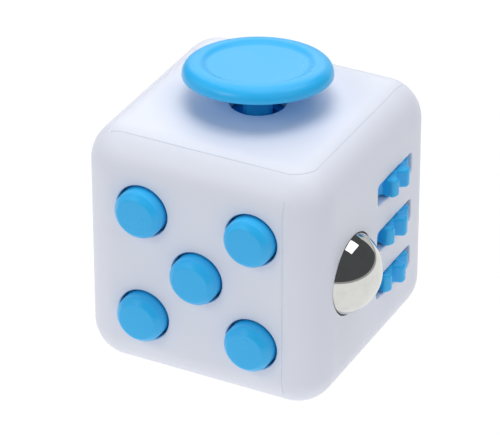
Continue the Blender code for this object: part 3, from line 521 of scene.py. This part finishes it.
def worked_metal(name, colour, shade, roughness, stretch, streak_mm=0.5):
    """Metal with drawn, turned or plated streaks."""
    smoother = 0.06
    rougher = 0.08
    depth = 0.004
    core = (0.35, 0.65)
    nodes = Nodes(name)
    streaks = nodes.noise(streak_mm, 4.0, stretch)
    tone = nodes.remap(streaks, 0.0, 1.0, core)
    nodes.link(nodes.blend(tone, colour, shade), nodes.shader["Base Color"])
    sheen = nodes.remap(streaks, roughness - smoother, roughness + rougher, core)
    nodes.link(sheen, nodes.shader["Roughness"])
    nodes.link(nodes.relief(streaks, depth), nodes.shader["Normal"])
    nodes.shader["Metallic"].default_value = 1.0
    return nodes.material


def polished_ball():
    """Mirror-polished steel with a faint haze and a few handling specks."""
    upper = (0.45, 0.8)
    nodes = Nodes("ball_steel")
    haze = nodes.remap(nodes.noise(1.6, 4.0), 0.0, 1.0, upper)
    colour = nodes.blend(haze, (0.66, 0.665, 0.64), (0.60, 0.60, 0.57))
    nodes.link(colour, nodes.shader["Base Color"])
    specks = nodes.remap(nodes.noise(0.5, 5.0), 0.02, 0.075, upper)
    nodes.link(specks, nodes.shader["Roughness"])
    ripple = nodes.relief(nodes.noise(2.2, 1.0), 0.004, 0.5)
    nodes.link(ripple, nodes.shader["Normal"])
    nodes.shader["Metallic"].default_value = 1.0
    return nodes.material


# One finish for each material slot of the record.  A plastic has two tones, a roughness, and its
# grain's size and depth in mm.  A metal has two tones, a roughness and how its streaks stretch.
FINISHES = {
    "white_plastic": moulded_plastic(
        "white_satin", (0.80, 0.825, 0.92), (0.78, 0.81, 0.91), 0.42, 0.16, 0.006),
    "blue_plastic": moulded_plastic(
        "blue_gloss", (0.030, 0.49, 0.95), (0.026, 0.47, 0.93), 0.30, 0.30, 0.001),
    "grey_plastic": moulded_plastic(
        "grey_moulded", (0.30, 0.31, 0.33), (0.26, 0.27, 0.29), 0.52, 0.14, 0.010),
    "natural_plastic": moulded_plastic(
        "natural_acetal", (0.74, 0.73, 0.68), (0.70, 0.69, 0.63), 0.48, 0.12, 0.006),
    "silicone": moulded_plastic(
        "silicone_grey", (0.50, 0.51, 0.53), (0.46, 0.47, 0.49), 0.68, 0.20, 0.012),
    "polished_steel": polished_ball(),
    "spring_steel": worked_metal(
        "drawn_steel", (0.58, 0.59, 0.60), (0.48, 0.49, 0.50), 0.28, (1, 1, 6)),
    "zinc_plated_steel": worked_metal(
        "zinc_plate", (0.62, 0.63, 0.62), (0.55, 0.57, 0.58), 0.34, (1, 1, 1), streak_mm=0.9),
    "brass": worked_metal(
        "turned_brass", (0.75, 0.57, 0.27), (0.66, 0.48, 0.20), 0.28, (1, 1, 8)),
}


# ---- pieces --------------------------------------------------------------------------------
def add_object(name, bm, place=UP):
    """Turn a body in millimetres, moved to its place, into an object in metres."""
    bm.transform(place)
    bmesh.ops.scale(bm, vec=(MM, MM, MM), verts=bm.verts[:])
    mesh = bpy.data.meshes.new(name)
    bm.to_mesh(mesh)
    bm.free()
    item = bpy.data.objects.new(name, mesh)
    bpy.context.scene.collection.objects.link(item)
    return item


def combine(item, operation, bm, place=UP):
    """Cut, join or intersect a piece with a body, and keep only the result."""
    tool = add_object("tool", bm, place)
    modifier = item.modifiers.new("tool", "BOOLEAN")
    modifier.operation = operation
    modifier.object = tool
    graph = bpy.context.evaluated_depsgraph_get()
    made = bpy.data.meshes.new_from_object(item.evaluated_get(graph))
    item.modifiers.clear()
    spent = item.data
    item.data = made
    made.name = item.name
    bpy.data.meshes.remove(spent)
    spent = tool.data
    bpy.data.objects.remove(tool)
    bpy.data.meshes.remove(spent)


def smooth(item):
    """Shade round surfaces smooth, and keep flat ones flat and real edges sharp."""
    item.data.shade_smooth()
    item.data.set_sharp_from_angle(angle=math.radians(38))
    modifier = item.modifiers.new("flat_faces", "WEIGHTED_NORMAL")
    modifier.keep_sharp = True
    modifier.weight = 100


def place_piece(item, body, slot, *nodes):
    """Finish a piece, let it ride on a body, and hide the CAD nodes that it stands for."""
    item.data.materials.clear()
    item.data.materials.append(FINISHES[slot])
    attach(item, body)
    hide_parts(*nodes)


# ---- case ----------------------------------------------------------------------------------
def face_height(x, y):
    """Height of the cube's rounded surface above its centre, at a place on the face."""
    flat = HALF - EDGE_RADIUS
    past_x = max(abs(x) - flat, 0)
    past_y = max(abs(y) - flat, 0)
    return flat + math.sqrt(EDGE_RADIUS ** 2 - past_x ** 2 - past_y ** 2)


def panel_outline():
    """Square, round-cornered where the wall shells part and tight-cornered between."""
    side = PANEL_HALF
    corners = [
        (side, -side, PANEL_CORNER),
        (side, side, PANEL_SHARP_CORNER),
        (-side, side, PANEL_CORNER),
        (-side, -side, PANEL_SHARP_CORNER),
    ]
    return soften(corners, closed=True, steps=14)


def panel_prism(low, high):
    return prism(panel_outline(), low, high)


def panel_seam(side):
    """Groove along the seam of the top panel (side +1) or the bottom panel (side -1)."""
    path = []
    for x, y in straight_filled(panel_outline(), SEAM_SPACING):
        path.append((x, y, HALF + side * face_height(x, y)))
    return tube(path, GROOVE, closed=True)


def wall_seam(side):
    """Groove along the seam between the wall shells, at the front (side -1) or back (+1)."""
    path = []
    steps = 24
    reach = PANEL_HALF + GROOVE
    for step in range(steps + 1):
        z = -reach * math.cos(math.pi * step / steps)
        path.append((-side * CORNER_SEAM_X, side * face_height(CORNER_SEAM_X, z), HALF + z))
    return tube(path, GROOVE, closed=False)


def wall_region(side):
    """Plan of the front and left walls (side -1) or of the right and back walls (side +1)."""
    reach = HALF + PAST
    inner = HALF - 2 * WALL
    outline = [
        (-CORNER_SEAM_X, reach),
        (-CORNER_SEAM_X, inner),
        (CORNER_SEAM_X, -inner),
        (CORNER_SEAM_X, -reach),
        (side * reach, -reach),
        (side * reach, reach),
    ]
    return prism(outline, -PAST, SIDE + PAST)


def wall_shell(name, side):
    """Two walls of the case with the panels' windows and the seams' grooves."""
    shell = add_object(name, rounded_cube(HALF, EDGE_RADIUS, CASE_STEPS))
    cavity = rounded_cube(HALF - WALL, EDGE_RADIUS - WALL, CAVITY_STEPS)
    combine(shell, "DIFFERENCE", cavity)
    windows = [(panel_prism(HALF + PAST, SIDE + PAST), UP), (panel_prism(-PAST, HALF - PAST), UP)]
    combine(shell, "DIFFERENCE", gather(windows))
    combine(shell, "INTERSECT", wall_region(side))
    for seam in (panel_seam(1), panel_seam(-1), wall_seam(-1), wall_seam(1)):
        combine(shell, "DIFFERENCE", seam)
    return shell


def make_front_left_shell():
    """Front and left walls, with the buttons' holes and the dial's recess."""
    shell = wall_shell("front_left_case", -1)
    recess_floor = prism(circle(DIAL_FLOOR_RADIUS), DIAL_FLOOR[1], -WALL / 2)
    combine(shell, "UNION", recess_floor, LEFT_FACE)
    holes = []
    for name in BUTTONS:
        middle = centre_mm("button_" + name)
        hole = flared(circle(BUTTON_HOLE), -WALL - PAST, BUTTON_HOLE_LIP)
        holes.append((hole, at(middle.x, -HALF, middle.z, FRONT)))
    recess = flared(circle(DIAL_RECESS, 128), DIAL_FLOOR[0], DIAL_RECESS_LIP)
    holes.append((recess, LEFT_FACE))
    combine(shell, "DIFFERENCE", gather(holes))
    bore = prism(circle(DIAL_BORE), DIAL_FLOOR[1] - PAST, DIAL_FLOOR[0] + PAST)
    combine(shell, "DIFFERENCE", bore, LEFT_FACE)
    smooth(shell)
    place_piece(shell, "case", "white_plastic", "front_left_shell")


def gear_place(name):
    """A cog wheel's centre: the point on its axis half way up the wheel."""
    x, y, z = (value / MM for value in joint_named(f"gear_{name}_spin")["pos_m"])
    return x, y, centre_mm("gear_" + name).z


def make_right_back_shell():
    """Right and back walls, with the wheels' slots, the ball's seat and the rocker's opening."""
    shell = wall_shell("right_back_case", 1)
    holes = []
    reliefs = []
    for name in GEAR_TURN:
        x, y, z = gear_place(name)
        place = at(HALF, y, z, RIGHT)
        slot = rounded_rectangle(*SLOT_HALF, SLOT_CORNER, 8)
        holes.append((flared(slot, -WALL - PAST, SLOT_LIP), place))
        relief = rounded_rectangle(*SLOT_RELIEF, SLOT_CORNER, 6)
        reliefs.append((prism(relief, -WALL - PAST, -SLOT_DEPTH), place))
    opening = rounded_rectangle(*ROCKER_OPENING, ROCKER_OPENING_CORNER, 8)
    holes.append((flared(opening, -WALL - PAST, ROCKER_OPENING_LIP), BACK_FACE))
    sides = arc((0, 0), SEAT_RADIUS, -SEAT_SWEEP, SEAT_SWEEP, 58)
    seat = revolve([(0, -SEAT_RADIUS)] + sides + [(0, SEAT_RADIUS)], 128)
    holes.append((seat, at(*BALL, RIGHT)))
    combine(shell, "DIFFERENCE", gather(holes))
    combine(shell, "DIFFERENCE", gather(reliefs))
    smooth(shell)
    place_piece(shell, "case", "white_plastic", "right_back_shell")


def make_top_panel():
    """Top cover plate with the thumb disc's hole."""
    panel = add_object("top_cover", rounded_cube(HALF, EDGE_RADIUS, CASE_STEPS))
    combine(panel, "INTERSECT", panel_prism(SIDE - WALL, SIDE + PAST))
    combine(panel, "DIFFERENCE", panel_seam(1))
    hole = flared(circle(GLIDE_HOLE), -WALL - PAST, GLIDE_HOLE_LIP)
    combine(panel, "DIFFERENCE", hole, TOP_FACE)
    smooth(panel)
    place_piece(panel, "case", "white_plastic", "top_panel")


def oval_bowl():
    """Cutter for the worry-stone hollow, with a rounded lip where it meets the face."""
    centre = HOLLOW_DEPTH - HOLLOW_CURVE
    spread = math.sqrt(1 - (centre / HOLLOW_CURVE) ** 2)
    profile = [(0, -PAST), *HOLLOW_MOUTH]
    steps = 40
    start = math.asin(-centre / HOLLOW_CURVE)
    for step in range(2, steps):
        angle = start + (math.pi / 2 - start) * step / steps
        profile.append((math.cos(angle) / spread, centre + HOLLOW_CURVE * math.sin(angle)))
    profile.append((0, HOLLOW_DEPTH))
    bm = revolve(profile, 128)
    bmesh.ops.scale(bm, vec=(*HOLLOW_HALF, 1), verts=bm.verts[:])
    return bm


def hollow_backing():
    """Solid behind the hollow, so the skin keeps its thickness."""
    centre = HOLLOW_DEPTH - HOLLOW_CURVE
    curve = HOLLOW_CURVE + HOLLOW_SKIN
    spread = math.sqrt(1 - (centre / HOLLOW_CURVE) ** 2)
    profile = [(0, WALL / 2)]
    steps = 20
    start = math.asin((WALL / 2 - centre) / curve)
    for step in range(steps):
        angle = start + (math.pi / 2 - start) * step / steps
        profile.append((math.cos(angle), centre + curve * math.sin(angle)))
    profile.append((0, centre + curve))
    bm = revolve(profile)
    reach_x = HOLLOW_HALF[0] / spread + HOLLOW_SKIN
    reach_y = HOLLOW_HALF[1] / spread + HOLLOW_SKIN
    bmesh.ops.scale(bm, vec=(reach_x, reach_y, 1), verts=bm.verts[:])
    return bm


def make_bottom_panel():
    """Bottom cover plate with the worry-stone hollow."""
    panel = add_object("bottom_cover", rounded_cube(HALF, EDGE_RADIUS, CASE_STEPS))
    combine(panel, "INTERSECT", panel_prism(-PAST, WALL))
    combine(panel, "DIFFERENCE", panel_seam(-1))
    combine(panel, "UNION", hollow_backing())
    combine(panel, "DIFFERENCE", oval_bowl())
    smooth(panel)
    place_piece(panel, "case", "white_plastic", "bottom_panel")


# ---- controls: corners are (radius, height, rounding) --------------------------------------
def make_buttons():
    """Bevelled buttons with the flange and plunger that are behind the wall."""
    for name in BUTTONS:
        low, high = box_mm("button_" + name)
        rise = -HALF - low.y
        middle = (low + high) / 2
        profile = soften([
            (0, rise, 0),
            (0.5 * BUTTON_FACE, rise, 1.0),
            (BUTTON_FACE, rise - BUTTON_CROWN, 0.45),
            (BUTTON_RADIUS - BUTTON_DRAFT, rise - BUTTON_BEVEL, 0.5),
            (BUTTON_RADIUS, 0, 0.2),
            (BUTTON_RADIUS, FLANGE_OUTER, 0.05),
            (FLANGE_RADIUS, FLANGE_OUTER, 0.15),
            (FLANGE_RADIUS, FLANGE_INNER, 0.15),
            (PLUNGER_RADIUS, FLANGE_INNER, 0.05),
            (PLUNGER_RADIUS, PLUNGER_END, 0.15),
            (0, PLUNGER_END, 0),
        ], closed=False, steps=10)
        place = at(middle.x, -HALF, middle.z, FRONT)
        button = add_object("push_button_" + name, revolve(profile), place)
        smooth(button)
        place_piece(button, "button_" + name, "blue_plastic", "button_" + name)


def make_ball():
    """Sphere made from a subdivided cube, so its faces are all of about one size."""
    bm = bmesh.new()
    bmesh.ops.create_cube(bm, size=2)
    bmesh.ops.subdivide_edges(bm, edges=bm.edges[:], cuts=BALL_CUTS, use_grid_fill=True)
    for vertex in bm.verts:
        square = vertex.co.copy()
        x, y, z = (component * component for component in square)
        vertex.co = Vector((
            square.x * math.sqrt(1 - y / 2 - z / 2 + y * z / 3),
            square.y * math.sqrt(1 - z / 2 - x / 2 + z * x / 3),
            square.z * math.sqrt(1 - x / 2 - y / 2 + x * y / 3),
        )) * BALL_RADIUS
    ball = add_object("steel_ball", bm, at(*BALL))
    ball.data.shade_smooth()
    place_piece(ball, "ball", "polished_steel", "roll_ball")


def gear_outline():
    corners = []
    for index in range(GEAR_TEETH):
        turn = Matrix.Rotation(math.tau * index / GEAR_TEETH, 2)
        tooth = [
            (GEAR_ROOT, -TOOTH_ROOT_HALF, TOOTH_ROOT_ROUND),
            (GEAR_TIP, -TOOTH_TIP_HALF, TOOTH_TIP_ROUND),
            (GEAR_TIP, TOOTH_TIP_HALF, TOOTH_TIP_ROUND),
            (GEAR_ROOT, TOOTH_ROOT_HALF, TOOTH_ROOT_ROUND),
        ]
        for x, y, radius in tooth:
            corners.append((*(turn @ Vector((x, y))), radius))
    return soften(corners, closed=True, steps=5)


def make_gears():
    """Cog wheels with rounded teeth and a bore for their axle."""
    for name, turn_deg in GEAR_TURN.items():
        low, high = box_mm("gear_" + name)
        half = (high.z - low.z) / 2
        place = at(*gear_place(name), Matrix.Rotation(math.radians(turn_deg), 4, "Z"))
        wheel = soft_prism(gear_outline(), -half, half, GEAR_EDGE)
        gear = add_object("cog_wheel_" + name, wheel, place)
        bore = prism(circle(GEAR_BORE, 48), -PAST - half, PAST + half)
        combine(gear, "DIFFERENCE", bore, place)
        smooth(gear)
        place_piece(gear, "gear_" + name, "blue_plastic", "gear_" + name)


def disc_dish():
    """Thumb disc's section from the floor's edge up to the crest, an S-curve."""
    points = []
    steps = 12
    for step in range(steps + 1):
        share = step / steps
        rise = share * share * (3 - 2 * share)
        radius = DISC_FLOOR_RADIUS + (DISC_CREST_RADIUS - DISC_FLOOR_RADIUS) * share
        points.append((radius, DISC_FLOOR + (DISC_CREST - DISC_FLOOR) * rise))
    return points


def disc_rim():
    """Thumb disc's section from the crest out to its widest point, a quarter superellipse."""
    points = []
    steps = 24
    for step in range(1, steps + 1):
        angle = math.pi / 2 * step / steps
        outward = math.sin(angle) ** (2 / DISC_FULLNESS)
        upward = max(math.cos(angle), 0) ** (2 / DISC_FULLNESS)
        radius = DISC_CREST_RADIUS + (DISC_RADIUS - DISC_CREST_RADIUS) * outward
        points.append((radius, DISC_EQUATOR + (DISC_CREST - DISC_EQUATOR) * upward))
    return points


def disc_underside():
    """Thumb disc's section from its widest point in to the stem and down to the stem's end."""
    under = DISC_EQUATOR - DISC_UNDERSIDE
    flare_out, flare_down = STEM_FLARE
    corners = [
        (DISC_RADIUS, DISC_EQUATOR, 0),
        (DISC_RADIUS - 0.05, DISC_EQUATOR - 0.6 * under, 0.15),
        (DISC_RADIUS - DISC_UNDERCUT, DISC_UNDERSIDE, 0.4),
        (STEM_RADIUS + flare_out, DISC_UNDERSIDE, 0.5),
        (STEM_RADIUS, DISC_UNDERSIDE - flare_down, 0.5),
        (STEM_RADIUS, STEM_END, 0.1),
        (SHANK_HOLE, STEM_END, 0),
    ]
    return soften(corners, closed=False, steps=6)[1:]


def make_glide_disc():
    """Thumb disc with a dished floor, a round crest and a slim stem, leaning as it rests."""
    floor = [(0, DISC_FLOOR), (0.5 * DISC_FLOOR_RADIUS, DISC_FLOOR)]
    hole = [(SHANK_HOLE, SHANK_HOLE_TOP), (0, SHANK_HOLE_TOP)]
    profile = floor + disc_dish() + disc_rim() + disc_underside() + hole
    pivot = Vector(DISC_JOINT["pos_m"]) / MM
    lean = Matrix.Rotation(-DISC_LEAN, 4, Vector(DISC_JOINT["axis"]))
    place = Matrix.Translation(pivot) @ lean @ Matrix.Translation((0, 0, SIDE - pivot.z))
    disc = add_object("thumb_disc", revolve(profile, 144), place)
    smooth(disc)
    place_piece(disc, "glide_disc", "blue_plastic", "glide_cap")


def make_dial():
    """Dished dial with its hub, and the nub that a finger turns it by."""
    profile = soften([
        (0, DIAL_RISE - DIAL_DISH, 0),
        (DIAL_DISH_FLAT, DIAL_RISE - DIAL_DISH, 3.0),
        (DIAL_DISH_RADIUS, DIAL_RISE - 0.05, 3.0),
        (DIAL_RADIUS, DIAL_RISE, 0.75),
        (DIAL_RADIUS, DIAL_BACK, 0.15),
        (HUB_RADIUS, DIAL_BACK, 0.1),
        (HUB_RADIUS, HUB_END, 0.1),
        (SHANK_HOLE, HUB_END, 0),
        (SHANK_HOLE, HUB_HOLE_END, 0),
        (0, HUB_HOLE_END, 0),
    ], closed=False, steps=8)
    dial = add_object("spin_dial", revolve(profile, 144), LEFT_FACE)
    nub = soften([
        (0, 0, 0),
        (NUB_RADIUS + NUB_FOOT, 0, 0),
        (NUB_RADIUS + NUB_FOOT, NUB_FOOT_RISE[0], 0),
        (NUB_RADIUS, NUB_FOOT_RISE[1], 0.8),
        (NUB_RADIUS, NUB_RISE, 1.1),
        (0.4, NUB_RISE, 0),
        (0, NUB_RISE - 0.05, 0),
    ], closed=False, steps=8)
    combine(dial, "UNION", revolve(nub, 64), at(-HALF, 0, HALF - NUB_OFFSET, LEFT))
    smooth(dial)
    place_piece(dial, "dial", "blue_plastic", "dial")


def rocker_outline():
    """Rocker's side view, with its dished face toward +X and its hub round the origin."""
    length = ROCKER_HALF[1]
    face = []
    steps = 24
    for step in range(1, steps):
        y = -length + 2 * length * step / steps
        face.append((ROCKER_FACE - ROCKER_DIP * (1 - (y / length) ** 2), y, 0))
    half_chord = math.sqrt(ROCKER_HUB ** 2 - ROCKER_SKIRT ** 2)
    start = math.degrees(math.atan2(half_chord, ROCKER_SKIRT))
    hub = [(x, y, 0) for x, y in arc((0, 0), ROCKER_HUB, start, 360 - start, 20)]
    corners = [(ROCKER_FACE, -length, 0.6)] + face + [(ROCKER_FACE, length, 0.6)]
    corners += [(ROCKER_SKIRT, length, 0.3)] + hub + [(ROCKER_SKIRT, -length, 0.3)]
    return soften(corners, closed=True, steps=6)


def make_rocker():
    """Rocker with a dished face and rounded edges, at rest on one stop."""
    half_width = ROCKER_HALF[0]
    x, y, z = (value / MM for value in ROCKER_JOINT["pos_m"])
    upright = Matrix(((0, 0, 1, 0), (1, 0, 0, 0), (0, 1, 0, 0), (0, 0, 0, 1)))
    place = at(x, y, z, Matrix.Rotation(ROCKER_TILT, 4, "X"))
    body = soft_prism(rocker_outline(), -half_width, half_width, ROCKER_EDGE)
    rocker = add_object("flip_rocker", body, place @ upright)
    bore = prism(circle(PIN_BORE, 40), -half_width - PAST, half_width + PAST)
    combine(rocker, "DIFFERENCE", bore, at(x, y, z, RIGHT))
    smooth(rocker)
    place_piece(rocker, "rocker", "blue_plastic", "rocker")


def finish_inner_nodes():
    """Give every CAD node that still shows the finish of its slot in the record."""
    slots = {part["node"]: part["material_slot"] for part in frame["record"]["subparts"]}
    for name, node in frame["nodes"].items():
        if node.hide_render:
            continue
        finish = FINISHES[slots[name]]
        if node.material_slots:
            node.material_slots[0].material = finish
        else:
            node.data.materials.append(finish)


# ---- stage, lights and camera --------------------------------------------------------------
def glowing_paper(name, strength):
    material = bpy.data.materials.new(name)
    material.use_nodes = True
    shader = material.node_tree.nodes["Principled BSDF"].inputs
    shader["Base Color"].default_value = (PAPER_GREY, PAPER_GREY, PAPER_GREY, 1)
    shader["Roughness"].default_value = 0.9
    shader["Specular IOR Level"].default_value = 0.0
    shader["Emission Color"].default_value = (1, 1, 1, 1)
    shader["Emission Strength"].default_value = strength
    return material


def table_paper():
    """White paper whose glow fades to a dimmer one past the table's edge."""
    material = glowing_paper("paper_white", PAPER_GLOW)
    nodes = material.node_tree.nodes
    links = material.node_tree.links
    place = nodes.new("ShaderNodeTexCoord")
    reach = nodes.new("ShaderNodeVectorMath")
    reach.operation = "LENGTH"
    fade = nodes.new("ShaderNodeMapRange")
    fade.interpolation_type = "SMOOTHSTEP"
    fade.inputs["From Min"].default_value = TABLE_EDGE[0]
    fade.inputs["From Max"].default_value = TABLE_EDGE[1]
    fade.inputs["To Min"].default_value = PAPER_GLOW
    fade.inputs["To Max"].default_value = FAR_GLOW
    links.new(place.outputs["Object"], reach.inputs[0])
    links.new(reach.outputs["Value"], fade.inputs["Value"])
    links.new(fade.outputs["Result"], nodes["Principled BSDF"].inputs["Emission Strength"])
    return material


def add_plane(name, corners, material):
    mesh = bpy.data.meshes.new(name)
    mesh.from_pydata(corners, [], [(0, 1, 2, 3)])
    plane = bpy.data.objects.new(name, mesh)
    mesh.materials.append(material)
    bpy.context.scene.collection.objects.link(plane)


def make_stage():
    """Pale floor round the cube, and a white sweep behind it."""
    side = FLOOR_REACH
    floor = [(-side, -side, 0), (side, -side, 0), (side, side, 0), (-side, side, 0)]
    add_plane("floor", floor, table_paper())
    sweep = [
        (SWEEP_LEFT, SWEEP_BACK, MM),
        (SWEEP_RIGHT_FOOT, SWEEP_BACK, MM),
        (SWEEP_RIGHT_TOP, SWEEP_BACK, SWEEP_TOP),
        (SWEEP_LEFT, SWEEP_BACK, SWEEP_TOP),
    ]
    add_plane("backdrop", sweep, glowing_paper("backdrop_white", SWEEP_GLOW))


def area_light(name, direction, distance, size, power, along):
    """Softbox that stands in a direction and looks at the cube."""
    light = bpy.data.lights.new(name, "AREA")
    light.shape = "RECTANGLE"
    light.size, light.size_y = size
    light.energy = power
    item = bpy.data.objects.new(name, light)
    back = Vector(direction).normalized()
    side = Vector(along).cross(back).normalized()
    upward = back.cross(side)
    turn = Matrix((side, upward, back)).transposed().to_4x4()
    target = Vector((0, 0, HALF * MM))
    item.matrix_world = Matrix.Translation(target + back * distance) @ turn
    item.visible_camera = False
    bpy.context.scene.collection.objects.link(item)
    return item


def make_lights():
    """Softboxes that show in the gloss, and wide fills that only light the surfaces."""
    for row in SOFTBOXES:
        area_light(*row)
    for row in FILLS:
        area_light(*row).visible_glossy = False


def make_world():
    """Dark studio to everything but the camera, which sees white."""
    world = bpy.data.worlds.new("studio")
    bpy.context.scene.world = world
    world.use_nodes = True
    tree = world.node_tree
    dark = tree.nodes["Background"]
    dark.inputs["Color"].default_value = (*STUDIO_DARK, 1)
    white = tree.nodes.new("ShaderNodeBackground")
    white.inputs["Color"].default_value = (1, 1, 1, 1)
    rays = tree.nodes.new("ShaderNodeLightPath")
    mix = tree.nodes.new("ShaderNodeMixShader")
    tree.links.new(rays.outputs["Is Camera Ray"], mix.inputs[0])
    tree.links.new(dark.outputs["Background"], mix.inputs[1])
    tree.links.new(white.outputs["Background"], mix.inputs[2])
    tree.links.new(mix.outputs["Shader"], tree.nodes["World Output"].inputs["Surface"])


def make_camera():
    """Long-lens view from the front right, above the cube."""
    back = Vector((
        math.sin(CAMERA_AZIMUTH) * math.cos(CAMERA_ELEVATION),
        -math.cos(CAMERA_AZIMUTH) * math.cos(CAMERA_ELEVATION),
        math.sin(CAMERA_ELEVATION),
    ))
    right = Vector((math.cos(CAMERA_AZIMUTH), math.sin(CAMERA_AZIMUTH), 0))
    upward = back.cross(right)
    data = bpy.data.cameras.new("camera")
    data.lens = CAMERA_LENS
    data.sensor_width = 36.0
    data.shift_x, data.shift_y = CAMERA_SHIFT
    data.clip_start = 0.01
    data.clip_end = 20.0
    camera = bpy.data.objects.new("camera", data)
    turn = Matrix((right, upward, back)).transposed().to_4x4()
    place = Vector((0, 0, HALF)) + back * CAMERA_DISTANCE - upward * CAMERA_DROP
    camera.matrix_world = Matrix.Translation(place * MM) @ turn
    bpy.context.scene.collection.objects.link(camera)
    bpy.context.scene.camera = camera
    bpy.context.scene.view_settings.view_transform = "Standard"


make_camera()
make_stage()
make_lights()
make_world()
make_top_panel()
make_bottom_panel()
make_front_left_shell()
make_right_back_shell()
make_buttons()
make_ball()
make_gears()
make_glide_disc()
make_dial()
make_rocker()
finish_inner_nodes()
